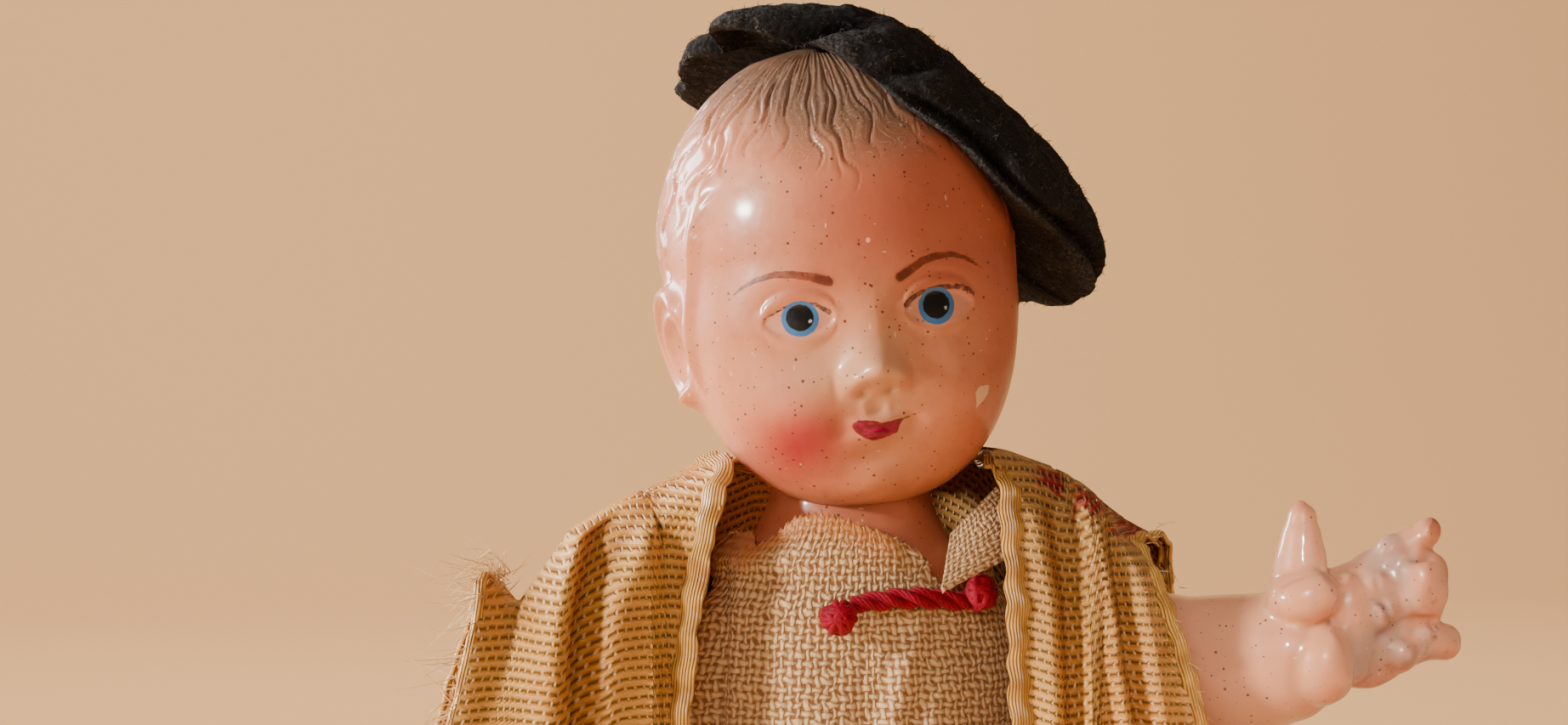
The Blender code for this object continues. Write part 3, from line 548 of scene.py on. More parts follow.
def felt(name, lighter):
    """Dark pilled wool, a share of its pills lighter; a painted highlight on its ridges and painted shade,
    near black, in its hollows.
    """
    n = Nodes(name)
    place = n.place()
    pills, chance = n.cells(place, 1500.0)
    fibres = n.noise(place, 3800.0, 4.0, 0.75)
    broad = n.noise(place, 170.0, 3.0)
    tone = n.mix(fibres, (0.0035, 0.0035, 0.004), (0.021, 0.021, 0.023))
    tone = n.mix(n.ramp(broad, 0.4, 0.7, 0.0, 0.5), tone, (0.015, 0.013, 0.012))
    light = n.times(n.math("GREATER_THAN", n.split(chance)[0], 1.0 - lighter), n.ramp(fibres, 0.52, 0.68))
    tone = n.mix(light, tone, (0.12, 0.105, 0.09))
    # Painted highlight along the pleats' ridges.
    ridge_highlight = n.times(n.attribute("ridge"), n.ramp(fibres, 0.42, 0.62))
    tone = n.mix(n.times(ridge_highlight, 0.8), tone, (0.09, 0.09, 0.092))
    # Painted shade, near black, in the pleats' hollows.
    tone = n.mix(n.times(n.attribute("hollow"), 0.8), tone, (0.001, 0.001, 0.001))
    tone = n.mix(n.attribute("faded"), tone, (0.10, 0.135, 0.18))
    total = n.math("MULTIPLY_ADD", fibres, 0.7, n.minus(1.0, pills))
    total = n.math("MULTIPLY_ADD", n.noise(place, 1100.0, 3.0), 1.6, total)
    n.set(Base_Color=tone, Roughness=0.95, Normal=n.relief(total, 0.42, 1.0))
    n.set(Sheen_Weight=0.06, Sheen_Roughness=0.5, Specular_IOR_Level=0.12)
    n.shader.inputs["Sheen Tint"].default_value = (0.6, 0.5, 0.45, 1.0)
    return n.material


def yarn():
    """Crimson yarn with dull, darker places."""
    n = Nodes("crimson_yarn")
    place = n.place()
    fibres = n.noise(place, 4200.0, 4.0, 0.7)
    broad = n.noise(place, 700.0, 2.0)
    tone = n.mix(fibres, (0.12, 0.0, 0.008), (0.46, 0.0, 0.026))
    tone = n.mix(n.ramp(broad, 0.55, 0.75, 0.0, 0.6), tone, (0.06, 0.0, 0.006))
    n.set(Base_Color=tone, Roughness=0.6, Normal=n.relief(fibres, 0.06, 0.9))
    n.set(Sheen_Weight=0.05, Sheen_Roughness=0.4, Specular_IOR_Level=0.3)
    return n.material


def loose_fibre(name, tone, light):
    """Fibres streaked from one tone to a lighter one."""
    n = Nodes(name)
    streak = n.noise(n.place(), 900.0, 2.0)
    n.set(Base_Color=n.mix(streak, tone, light), Roughness=0.5, Specular_IOR_Level=0.5)
    n.set(Normal=n.relief(streak, 0.02, 0.4))
    return n.material


def shoe_paint():
    """Skin above the ankle, worn black paint below it."""
    n = Nodes("painted_leg")
    place = n.place()
    edge = n.math("MULTIPLY_ADD", n.noise(place, 900.0, 2.0), 0.0006, n.split(place)[2])
    shoe = n.ramp(edge, 0.0084, 0.0088, 1.0, 0.0)
    worn = n.ramp(n.noise(place, 500.0, 5.0, 0.7), 0.62, 0.7)
    shoe = n.times(shoe, n.minus(1.0, n.times(worn, 0.8)))
    skin = n.mix(n.noise(place, 100.0, 2.0), (0.64, 0.35, 0.23), (0.55, 0.26, 0.155))
    paint = n.mix(n.noise(place, 350.0, 3.0), (0.012, 0.010, 0.010), (0.03, 0.024, 0.022))
    n.set(Base_Color=n.mix(shoe, skin, paint), Roughness=n.ramp(worn, 0.0, 1.0, 0.24, 0.45))
    n.set(Coat_Weight=0.3, Normal=n.relief(n.noise(place, 900.0, 3.0), 0.05, 0.4))
    return n.material


# The head

HEAD_CENTRE = np.array([-1.3, -0.5, 134.0])
HEAD_ROLL = math.radians(6.3)
SKULL_SIDE = 14.0
SKULL_FRONT = 13.8
SKULL_BACK = 15.2
CROWN = 16.0
CHIN_DROP = 21.7
NAPE_DROP = 17.0
FACE_MIDDLE = -0.5

EYES = (
    {"middle": -5.75, "half": 2.75, "level": -5.15, "up": 1.35, "down": 1.5,
     "iris": (-5.68, -5.08), "size": 1.42},
    {"middle": 5.35, "half": 2.95, "level": -5.35, "up": 1.45, "down": 1.45,
     "iris": (5.1, -5.24), "size": 1.5},
)
BROWS = (
    ((-10.3, -2.75), (-9.64, -2.24), (-8.48, -1.72), (-7.17, -1.47), (-5.83, -1.63), (-4.63, -1.92),
     (-3.32, -2.43)),
    ((9.28, -2.68), (7.97, -1.78), (6.81, -1.4), (5.36, -1.39), (4.16, -1.67), (3.13, -2.25), (2.25, -2.68)),
)
BROW_WIDTHS = (0.07, 0.16, 0.22, 0.27, 0.3, 0.34, 0.36)
LASHES = (
    ((-8.7, -5.0), (-6.96, -4.2), (-5.57, -3.83), (-4.44, -4.05), (-3.45, -4.8)),
    ((2.6, -4.88), (3.12, -4.42), (3.87, -4.07), (5.29, -3.87), (6.78, -3.88), (7.86, -4.22), (8.34, -4.68)),
)
LASH_WIDTHS = ((0.05, 0.09, 0.15, 0.12, 0.2), (0.27, 0.2, 0.2, 0.22, 0.22, 0.22, 0.16))
LIPS = (
    (-2.65, -13.75), (-2.0, -13.46), (-0.9, -13.62), (-0.25, -13.88), (0.6, -13.8), (1.7, -13.62),
    (1.3, -14.2), (1.1, -14.74), (-0.1, -15.1), (-0.95, -15.2), (-1.75, -14.85), (-2.3, -14.3),
)
LIP_LINE = ((-2.5, -13.82), (-2.0, -13.95), (-0.8, -14.05), (-0.2, -14.12), (0.67, -13.97), (1.5, -13.78))
MOUTH_CORNER = ((1.5, -13.75), (2.2, -13.62), (2.9, -13.38))
WORN_PATCH = (
    (8.98, -11.9), (8.8, -12.6), (8.25, -13.1), (7.6, -13.6), (7.6, -13.0), (7.55, -12.35), (7.95, -11.9),
)


def eye_opening(x, z, eye):
    """How far a point lies inside the opening between an eye's lids."""
    share = np.clip(1.0 - ((x - eye["middle"]) / eye["half"]) ** 2, 0.0, 1.0) ** 0.7
    upper = eye["level"] + eye["up"] * share - z
    lower = z - eye["level"] + eye["down"] * share
    within = eye["half"] - np.abs(x - eye["middle"])
    return np.minimum(np.minimum(upper, lower), within), upper, lower


def face_relief(x, z):
    """How far the face stands forward of the plain skull. x runs across it and z up."""
    side = np.abs(x)
    out = -0.95 * bump(side, z, 5.3, -5.4, 3.4, 2.6)
    out += 0.7 * bump(side, z, 5.5, -5.7, 1.9, 1.5)
    out += 0.2 * bump(side, z, 5.6, -2.0, 3.6, 1.5)
    out += 1.35 * bump(side, z, 6.5, -12.6, 3.5, 3.3)
    for eye in EYES:
        inside, upper, lower = eye_opening(x, z, eye)
        near = ease(0.8, -0.4, np.abs(x - eye["middle"]) - eye["half"])
        out -= 0.13 * ease(-0.05, 0.25, inside)
        out += near * 0.2 * bell(upper, -0.5, 0.5)
        out -= near * 0.09 * bell(upper, -1.25, 0.3)
        out += near * 0.1 * bell(lower, -0.35, 0.4)
        out -= near * 0.05 * bell(lower, -1.0, 0.4)
    x = x - FACE_MIDDLE
    side = np.abs(x)
    out += 0.65 * bump(x, z, 0.0, -6.8, 2.1, 2.8)
    out += 2.75 * bump(x, z, 0.0, -9.7, 1.95, 1.65)
    out += 1.0 * bump(side, z, 1.95, -10.35, 1.0, 0.9)
    out -= 0.65 * bump(side, z, 1.05, -11.3, 0.55, 0.4)
    out -= 0.3 * bump(side, z, 3.05, -10.4, 0.45, 1.0)
    out -= 0.22 * bump(x, z, 0.0, -12.5, 0.55, 0.8)
    out += 0.12 * bump(side, z, 0.95, -12.5, 0.4, 0.8)
    out += 0.6 * bump(x, z, 0.0, -14.4, 3.2, 2.4)
    out += 0.5 * bump(x, z, 0.0, -13.7, 2.0, 0.45)
    out += 0.62 * bump(x, z, 0.0, -14.75, 1.6, 0.55)
    out -= 0.35 * bump(side, z, 2.9, -14.0, 0.8, 0.9)
    out -= 0.4 * bump(x, z, 0.0, -16.4, 2.0, 0.7)
    out += 0.9 * bump(x, z, 0.0, -19.0, 2.7, 1.7)
    return out


def ear_relief(y, z):
    """How far the ear's rim and its hollow move the side of the head out and in."""
    y = y + 1.3
    z = z + 6.6
    away = np.sqrt((y / 3.5) ** 2 + (z / 4.6) ** 2)
    rim = bell(away, 0.93, 0.17) * ease(-3.8, -1.0, y + 0.25 * z)
    hollow = bump(y, z, -0.7, 0.2, 1.7, 3.0)
    inner = bell(away, 0.52, 0.12) * ease(-2.5, 0.5, z + y)
    lobe = bump(y, z, -0.9, -3.9, 1.3, 1.0)
    lock = bell(y + 4.2 + 0.12 * (z - 2.0), 0.0, 0.55) * ease(-5.0, -1.0, z)
    lock = lock * ease(16.0, 8.0, z)
    return 0.7 * np.exp(-(away ** 4)) + 0.95 * rim - 1.5 * hollow + 0.45 * inner + 0.6 * lobe + 0.5 * lock


def hair_field(points):
    """Where the moulded hair is, its locks' grooves, and coordinates that run along its strands."""
    x, y, z = points.T
    around = np.arctan2(x, -y)
    swept = around + 0.10 * np.sin(3.0 * around + 0.8) + 0.02 * (z - 8.0) * np.sin(2.0 * around + 0.6)
    swept = swept + 0.045 * np.sin(0.95 * z + 9.0 * around) * ease(15.0, 8.0, z)
    swept = swept + 0.03 * np.sin(1.9 * z - 14.0 * around) * ease(15.0, 9.0, z)
    phase = swept * 12.0
    lock = np.floor(phase / math.pi)
    ragged = np.sin(lock * 2.3 + 0.4) * 1.9
    hairline = 6.6 + ragged + 2.4 * ease(0.1, 0.7, np.abs(around))
    hairline -= 9.5 * ease(0.7, 1.25, np.abs(around))
    hairline -= 9.0 * ease(1.5, 2.4, np.abs(around))
    cover = ease(-0.5, 4.5, z - hairline)
    near = np.abs(np.sin(phase))
    width = 0.24 + 0.12 * np.sin(lock * 3.7)
    groove = bell(near, 0.0, width) * ease(-1.2, 2.4, z - hairline)
    broken = 0.5 + 0.5 * np.sin(1.3 * z + lock * 2.9)
    side = ease(0.7, 1.1, np.abs(around))
    groove *= (0.25 + 0.75 * broken) * (1.0 - side) + side * (0.65 + 0.35 * np.sin(lock * 4.1 + 1.0))
    other = np.abs(np.sin(phase * 1.7 + 1.6 * np.sin(0.8 * z + lock)))
    groove = np.maximum(groove, 0.6 * bell(other, 0.0, 0.2) * cover * (1.0 - broken))
    groove *= ease(15.6, 13.0, z) * 0.7 + 0.3
    fine = np.cos(phase * 6.0 + 2.0 * np.sin(z * 0.7)) * cover
    top = 1.0 - ease(14.8, 15.8, z)
    painted = ease(4.6, 10.8, z - 2.6 * ease(0.2, 0.9, np.abs(around)) + 0.08 * x)
    painted = np.maximum(painted, 0.45 * ease(1.2, 1.9, np.abs(around)) * ease(-9.0, -4.0, z))
    return cover * top, groove * top, fine * top, painted, np.stack((swept * 14.0, z, y * 0.0), axis=1)


def skull_reach(directions):
    """The plain skull's distance from its centre in the given directions."""
    dx, dy, dz = directions.T
    front = ease(0.5, -0.4, dy)
    low = NAPE_DROP + (CHIN_DROP - NAPE_DROP) * front
    squareness = 2.0 + (0.2 + 0.3 * front) * ease(0.0, -0.42, dz)
    up = np.where(dz < 0.0, low, CROWN)
    deep = np.where(dy < 0.0, SKULL_FRONT, SKULL_BACK)
    total = np.abs(dx / SKULL_SIDE) ** squareness + np.abs(dy / deep) ** squareness
    total += np.abs(dz / up) ** squareness
    return total ** (-1.0 / squareness)


def roll_head(points):
    """Tilts the head to the doll's right and sets it on the neck."""
    c, s = math.cos(HEAD_ROLL), math.sin(HEAD_ROLL)
    x, y, z = points.T
    return np.stack((x * c - z * s, y, x * s + z * c), axis=1) + HEAD_CENTRE


def unroll_head(points):
    """The opposite of roll_head."""
    c, s = math.cos(HEAD_ROLL), math.sin(HEAD_ROLL)
    x, y, z = (points - HEAD_CENTRE).T
    return np.stack((x * c + z * s, y, -x * s + z * c), axis=1)


OUTSIDE = -9.0
PUPIL_SHARE = 0.73
# How much painted shade the neck and the torso get.
NECK_SHADE = 0.55
PAINTED = (
    "iris", "pupil", "speck", "speck_centre", "eye_white", "brow", "brow_end", "lash", "lips", "lip_line",
    "chip",
)


def head_layers(points, facing):
    """The face's paint as distances inside each painted shape, with the blush and a painted light down the
    nose and on the lit cheek.
    """
    x, _, z = points.T
    flat = np.stack((x, z), axis=1)
    away = np.where(facing > 0.0, 0.0, -OUTSIDE)
    layers = {}
    iris, pupil, speck, centre, white = [np.full(len(points), OUTSIDE) for _ in range(5)]
    for eye in EYES:
        inside, upper, _ = eye_opening(x, z, eye)
        ex, ez = eye["iris"]
        ring = eye["size"] - np.hypot(x - ex, (z - ez) * 1.02)
        iris = np.maximum(iris, np.minimum(ring, upper + 0.1))
        dot = eye["size"] * PUPIL_SHARE - np.hypot(x - ex + 0.02, z - ez - 0.08)
        pupil = np.maximum(pupil, np.minimum(dot, upper + 0.02))
        glint = 0.16 - np.hypot(x - ex - 0.7, z - ez + 0.26)
        speck = np.maximum(speck, glint)
        centre = np.maximum(centre, glint - 0.11)
        white = np.maximum(white, inside)
    brow = np.maximum(stroke(flat, BROWS[0], BROW_WIDTHS), stroke(flat, BROWS[1], BROW_WIDTHS))
    ends = [np.hypot(x - line[-1][0], z - line[-1][1]) for line in BROWS]
    lash = np.maximum(stroke(flat, LASHES[0], LASH_WIDTHS[0]), stroke(flat, LASHES[1], LASH_WIDTHS[1]))
    hollow = stroke(flat, LASHES[1], (0.0, 0.02, 0.05, 0.0, 0.06, 0.07, 0.0))
    eyes = {"iris": iris, "pupil": pupil, "speck": speck, "speck_centre": centre, "eye_white": white}
    for key, inside in eyes.items():
        layers[key] = inside - away
    layers["brow"] = brow - away
    layers["brow_end"] = np.minimum(brow, 1.2 - np.minimum(ends[0], ends[1])) - away
    layers["lash"] = np.where(hollow > 0.0, np.minimum(lash, 0.02), lash) - away
    layers["lips"] = patch(flat, LIPS) - away
    corner = stroke(flat, MOUTH_CORNER, (0.12, 0.07, 0.05))
    layers["lip_line"] = np.maximum(stroke(flat, LIP_LINE, (0.03, 0.06, 0.06, 0.05)), corner) - away
    chip = 0.2 - np.hypot(x - 0.05, z - 0.43)
    spot = 0.16 - np.hypot(x - 1.24, z + 11.39)
    layers["chip"] = np.maximum(np.maximum(chip, spot - 0.05), patch(flat, WORN_PATCH)) - away
    front = np.where(facing > 0.0, 1.0, 0.0)
    blush = bump(x, z, -6.2, -14.6, 3.4, 3.3)
    blush += 0.25 * bump(x, z, 7.0, -15.0, 3.0, 3.0)
    blush += 0.4 * bump(x, z, 1.0, -10.9, 1.2, 0.6)
    layers["blush"] = np.clip(blush, 0.0, 1.0) * front
    # Painted light down the nose and on the lit cheek below the eye.
    pale = bump(x, z, 0.0, -11.0, 2.2, 4.5) + bump(x, z, -4.0, -9.5, 4.0, 2.6)
    layers["pale"] = np.clip(pale, 0.0, 1.0) * front
    return layers


def make_head():
    """Head, neck and torso of one casting, the face's points crowded together."""
    columns, rings = 430, 214
    turn = np.linspace(-math.pi, math.pi, columns, endpoint=False)
    turn = turn - 0.55 * np.sin(turn)
    climb = np.linspace(-math.pi / 2.0, math.pi / 2.0, rings + 2)[1:-1]
    climb = climb - 0.3 * np.cos(climb) ** 2
    turn, climb = [part.ravel() for part in np.meshgrid(turn, climb)]
    flat = np.cos(climb)
    directions = np.stack((flat * np.sin(turn), -flat * np.cos(turn), np.sin(climb)), axis=1)
    poles = np.array([[0.0, 0.0, -1.0], [0.0, 0.0, 1.0]])
    directions = np.vstack((directions, poles))
    points = directions * skull_reach(directions)[:, None]
    x, y, z = points.T
    facing = ease(-3.0, -7.5, y)
    cover, groove, fine, painted, strands = hair_field(points)
    ear = ear_relief(y - np.where(x > 0.0, 5.2, 0.0), z)
    outward = np.sign(x) * ease(9.0, 12.0, np.abs(x)) * ear
    lift = 0.2 * cover - 0.42 * groove + 0.05 * fine
    lift = lift + 0.05 * wobble(points, 9.0, 4)
    layers = head_layers(points, facing)
    # Painted shade in the nostrils and beside the nose's wings, kept with the hair's grooves.
    nostrils = 0.8 * bump(np.abs(x - FACE_MIDDLE), z, 1.05, -11.4, 0.38, 0.22) * facing
    wings = bump(np.abs(x - FACE_MIDDLE), z, 3.0, -10.5, 0.35, 0.8) * facing
    layers["groove"] = np.clip(groove + nostrils + 0.25 * wings, 0.0, 1.0)
    layers["hair"] = np.clip(painted, 0.0, 1.0)
    # Painted shade away from the lamp, low on the sides, at the temple under the beret, on the forehead's
    # middle, above the eyes and in the ear's hollow; less of it on the lit cheek.
    warm_shade = ease(4.0, 13.5, x) * 0.75
    warm_shade += 0.5 * ease(6.0, 13.0, np.abs(x)) * ease(-4.0, -18.0, z)
    warm_shade += 0.45 * bump(x, z, 8.5, 4.5, 7.0, 7.0)
    warm_shade += 0.75 * bump(x, z, 0.5, 2.0, 8.5, 6.0)
    warm_shade += 0.5 * bump(np.abs(x), z, 5.5, -3.0, 3.0, 1.6)
    warm_shade -= 0.5 * bump(x, z, -9.0, -8.0, 4.0, 6.0)
    warm_shade += 0.9 * ease(9.0, 12.0, np.abs(x)) * ease(-0.1, -0.7, ear)
    layers["warm_shade"] = np.clip(warm_shade, 0.0, 1.0)
    layers["hair_coordinates"] = strands
    forward = facing * face_relief(x, z)
    points = points + directions * lift[:, None]
    points[:, 1] -= forward
    points[:, 0] += outward
    points = roll_head(points)
    faces = grid_faces(rings, columns, wrap=True)
    count = rings * columns
    ring = np.arange(columns)
    following = (ring + 1) % columns
    bottom = np.stack((following, ring, np.full(columns, count)), axis=1)
    last = (rings - 1) * columns
    top = np.stack((ring + last, following + last, np.full(columns, count + 1)), axis=1)
    trunk_points, trunk_triangles = trunk()
    start = len(points)
    points = np.vstack((points, trunk_points))
    triangles = np.vstack((faces[:, [0, 1, 2]], faces[:, [0, 2, 3]], bottom, top, trunk_triangles + start))
    for key, data in layers.items():
        blank = NECK_SHADE if key == "warm_shade" else OUTSIDE if key in PAINTED else 0.0
        layers[key] = np.concatenate((data, np.full((len(trunk_points),) + data.shape[1:], blank)))
    mesh = make_mesh("head_and_torso", points, triangles, layers)
    piece = add_piece("head_and_torso", mesh, celluloid("painted_celluloid", True))
    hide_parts("body")
    return piece


# The body under the clothes

# Heights, half-widths and half-depths of the body
BODY_RINGS = (
    (51.5, 11.2, 6.0),
    (54.0, 12.6, 7.8),
    (60.0, 13.0, 9.4),
    (68.0, 12.6, 9.8),
    (78.0, 12.5, 10.3),
    (90.0, 12.7, 10.1),
    (99.0, 12.6, 9.4),
    (105.0, 11.8, 8.5),
    (109.0, 9.8, 7.5),
    (111.5, 7.4, 6.7),
    (114.0, 6.4, 6.2),
    (120.0, 6.2, 6.0),
)
BODY_SQUARENESS = 2.3
HIPS = 51.5
TRUNK_SIDES = 72


def body_size(z):
    """Half-width and half-depth of the body at the given heights."""
    heights = [row[0] for row in BODY_RINGS]
    known = np.arange(len(heights))
    place = np.interp(z, heights, known)
    step = np.clip(np.floor(place), 0, len(heights) - 2).astype(int)
    t = place - step
    t = t * t * (3.0 - 2.0 * t) * 0.5 + t * 0.5
    rows = np.array(BODY_RINGS)
    size = rows[step] * (1.0 - t)[..., None] + rows[step + 1] * t[..., None]
    return size[..., 1], size[..., 2]


def oval(angle, across, deep, squareness):
    """Points of a rounded oval of the given half-width and half-depth."""
    c, s = np.cos(angle), np.sin(angle)
    x = across * np.sign(c) * np.abs(c) ** (2.0 / squareness)
    y = deep * np.sign(s) * np.abs(s) ** (2.0 / squareness)
    return x, y


def trunk():
    """Points and triangles of the torso and the neck, closed at the hips."""
    heights = np.concatenate((np.linspace(HIPS, 108.0, 40), np.linspace(108.5, 119.0, 24)))
    angle = circle(TRUNK_SIDES)
    z, angle = np.meshgrid(heights, angle, indexing="ij")
    across, deep = body_size(z)
    x, y = oval(angle, across, deep, BODY_SQUARENESS)
    crease = 0.1 * bell(z, 112.6, 0.5)
    points = np.stack((x * (1.0 - crease / 8.0), y * (1.0 - crease / 8.0), z), axis=-1).reshape(-1, 3)
    faces = grid_faces(len(heights), TRUNK_SIDES, wrap=True)
    hub = np.array([[0.0, 0.0, HIPS]])
    ring = np.arange(TRUNK_SIDES)
    base = np.stack(((ring + 1) % TRUNK_SIDES, ring, np.full(TRUNK_SIDES, len(points))), axis=1)
    return np.vstack((points, hub)), np.vstack((faces[:, [0, 1, 2]], base, faces[:, [0, 2, 3]]))


# Arms and legs

SHOULDER = (15.2, 0.0, 103.0)
LEFT_ELBOW = (26.6, -3.0, 99.2)
LEFT_WRIST = (33.4, -8.0, 101.2)
RIGHT_ELBOW = (-24.0, -1.0, 96.5)
RIGHT_WRIST = (-31.4, -2.4, 90.6)
LEG_PLACE = 7.0


class Clay:
    """Overlapping balls and tapered rods that are melted into one soft body."""

    def __init__(self):
        self.bm = bmesh.new()

    def ball(self, centre, radius, stretch=(1.0, 1.0, 1.0), tilt=0.0):
        place = Matrix.Translation(centre) @ Matrix.Rotation(tilt, 4, "Y")
        place = place @ Matrix.Diagonal((*(Vector(stretch) * radius), 1.0))
        bmesh.ops.create_icosphere(self.bm, subdivisions=4, radius=1.0, matrix=place)

    def limb(self, start, end, start_radius, end_radius):
        start, end = Vector(start), Vector(end)
        self.ball(start, start_radius)
        self.ball(end, end_radius)
        along = end - start
        turn = along.to_track_quat("Z", "Y").to_matrix().to_4x4()
        place = Matrix.Translation((start + end) * 0.5) @ turn
        bmesh.ops.create_cone(
            self.bm, cap_ends=True, segments=40, radius1=start_radius, radius2=end_radius, depth=along.length,
            matrix=place,
        )

    def melt(self, name, voxel, smoothing):
        """Returns the points and the faces of the fused body."""
        mesh = bpy.data.meshes.new(name)
        self.bm.to_mesh(mesh)
        self.bm.free()
        lump = add_object(name, mesh)
        remesh = lump.modifiers.new("fuse", "REMESH")
        remesh.mode = "VOXEL"
        remesh.voxel_size = voxel
        soften = lump.modifiers.new("soften", "SMOOTH")
        soften.factor = 0.5
        soften.iterations = smoothing
        bpy.context.view_layer.update()
        melted = bpy.data.meshes.new_from_object(lump.evaluated_get(bpy.context.evaluated_depsgraph_get()))
        points = np.empty(len(melted.vertices) * 3)
        melted.vertices.foreach_get("co", points)
        normals = np.empty(len(melted.vertices) * 3)
        melted.vertices.foreach_get("normal", normals)
        faces = np.empty(len(melted.loops), dtype=np.int32)
        melted.loops.foreach_get("vertex_index", faces)
        bpy.data.objects.remove(lump, do_unlink=True)
        return points.reshape(-1, 3), normals.reshape(-1, 3), faces.reshape(-1, 4)


def dent(points, line, width, depth):
    """How far a groove along a line in space presses a surface in."""
    line = np.array(line, dtype=float)
    best = np.full(len(points), 1e9)
    for a, b in zip(line, line[1:]):
        step = b - a
        t = np.clip(((points - a) @ step) / (step @ step), 0.0, 1.0)
        best = np.minimum(best, np.linalg.norm(points - a - t[:, None] * step, axis=1))
    return depth * bell(best, 0.0, width)


def make_left_arm(skin):
    """The bent arm, its open palm towards the viewer and its thumb up."""
    clay = Clay()
    clay.limb(SHOULDER, LEFT_ELBOW, 5.0, 6.8)
    clay.limb(LEFT_ELBOW, LEFT_WRIST, 6.8, 5.3)
    clay.ball((39.4, -9.0, 103.8), 5.1, (1.05, 0.5, 1.0))
    clay.ball((35.8, -11.4, 100.8), 3.0, (0.92, 1.0, 1.1))
    clay.ball((34.4, -11.2, 106.2), 2.7, (1.15, 1.0, 0.82), math.radians(-12))
    clay.limb((34.5, -9.6, 107.0), (34.7, -9.5, 110.8), 2.5, 1.75)
    clay.limb((34.7, -9.5, 110.8), (34.7, -9.5, 112.4), 1.75, 1.25)
    clay.ball((34.6, -9.5, 113.5), 0.5)
    clay.limb((37.9, -10.5, 106.6), (38.6, -11.0, 100.6), 1.5, 1.3)
    clay.limb((40.5, -9.0, 107.6), (44.0, -9.2, 110.5), 2.0, 1.5)
    clay.ball((42.0, -9.7, 109.8), 1.25)
    clay.ball((44.9, -9.6, 111.2), 1.25)
    clay.limb((41.0, -9.0, 106.4), (44.3, -9.2, 107.4), 2.4, 2.5)
    clay.ball((44.2, -10.2, 107.0), 2.35, (1.0, 0.9, 1.25))
    clay.ball((41.1, -10.8, 104.9), 1.2)
    clay.ball((40.4, -10.6, 107.3), 1.1)
    clay.limb((41.5, -9.0, 104.8), (44.4, -9.2, 105.3), 2.3, 2.0)
    clay.limb((40.8, -9.0, 102.0), (46.5, -9.2, 102.5), 2.3, 1.5)
    clay.ball((42.5, -10.4, 101.6), 1.5)
    points, normals, faces = clay.melt("arm_clay", 0.24, 9)
    front = np.clip(-normals[:, 1], 0.0, 1.0)
    grooves = (
        (((41.6, -11.6, 109.4), (43.6, -11.4, 109.3), (45.9, -11.0, 109.6)), 0.42, 0.9),
        (((39.9, -11.8, 109.0), (40.6, -11.8, 106.0), (42.0, -11.9, 103.6)), 0.4, 0.35),
        (((40.6, -11.6, 103.2), (43.0, -11.4, 104.0), (46.4, -11.0, 104.1)), 0.42, 0.9),
        (((36.6, -11.8, 109.0), (36.9, -12.4, 106.2), (37.0, -13.0, 103.4), (37.3, -13.4, 100.4)),
         0.45, 0.55),
        (((33.2, -13.4, 103.8), (35.2, -13.8, 103.7), (36.8, -13.2, 104.8), (37.6, -12.4, 106.6)),
         0.42, 0.75),
        (((32.4, -12.4, 107.4), (34.6, -12.8, 108.4), (37.0, -12.0, 109.1)), 0.35, 0.45),
        (((33.2, -14.0, 102.6), (32.9, -13.8, 100.4), (33.6, -13.4, 98.2)), 0.5, 0.35),
        (((40.4, -11.8, 101.6), (40.0, -12.0, 99.4)), 0.4, 0.4),
    )
    pressed = np.zeros(len(points))
    for line, width, depth in grooves:
        pressed += dent(points, line, width, depth)
    pressed *= front
    hand = ease(33.0, 37.0, points[:, 0])
    uneven = 0.14 * wobble(points, 3.4, 11) * hand + 0.05 * wobble(points, 7.0, 12)
    points = points + normals * (uneven - pressed)[:, None]
    tips = np.maximum.reduce([
        np.exp(-(np.linalg.norm(points - tip, axis=1) / size) ** 2)
        for tip, size in (((45.6, -9.6, 111.6), 1.1), ((46.6, -9.4, 108.4), 1.0), ((34.7, -9.4, 113.3), 0.8))
    ])
    # The hand's underside, given painted shade in the worn layer.
    under = ease(-0.2, -0.9, normals[:, 2]) * hand
    slanted = points[:, 0] + 0.6 * (points[:, 2] - 106.5)
    palm = ease(36.2, 38.6, points[:, 0]) * ease(46.6, 43.5, slanted)
    layers = {
        # Painted shade in the creases.
        "groove": np.clip(pressed * 1.1, 0.0, 1.0),
        # Red worn fingertips, and painted shade under the hand.
        "worn": np.clip(tips + 0.55 * under, 0.0, 1.0),
        "stained": 0.15 + 0.85 * palm,
    }
    piece = add_piece("raised_arm", make_mesh("raised_arm", points, faces, layers), skin)
    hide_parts("arm_left")
    return piece


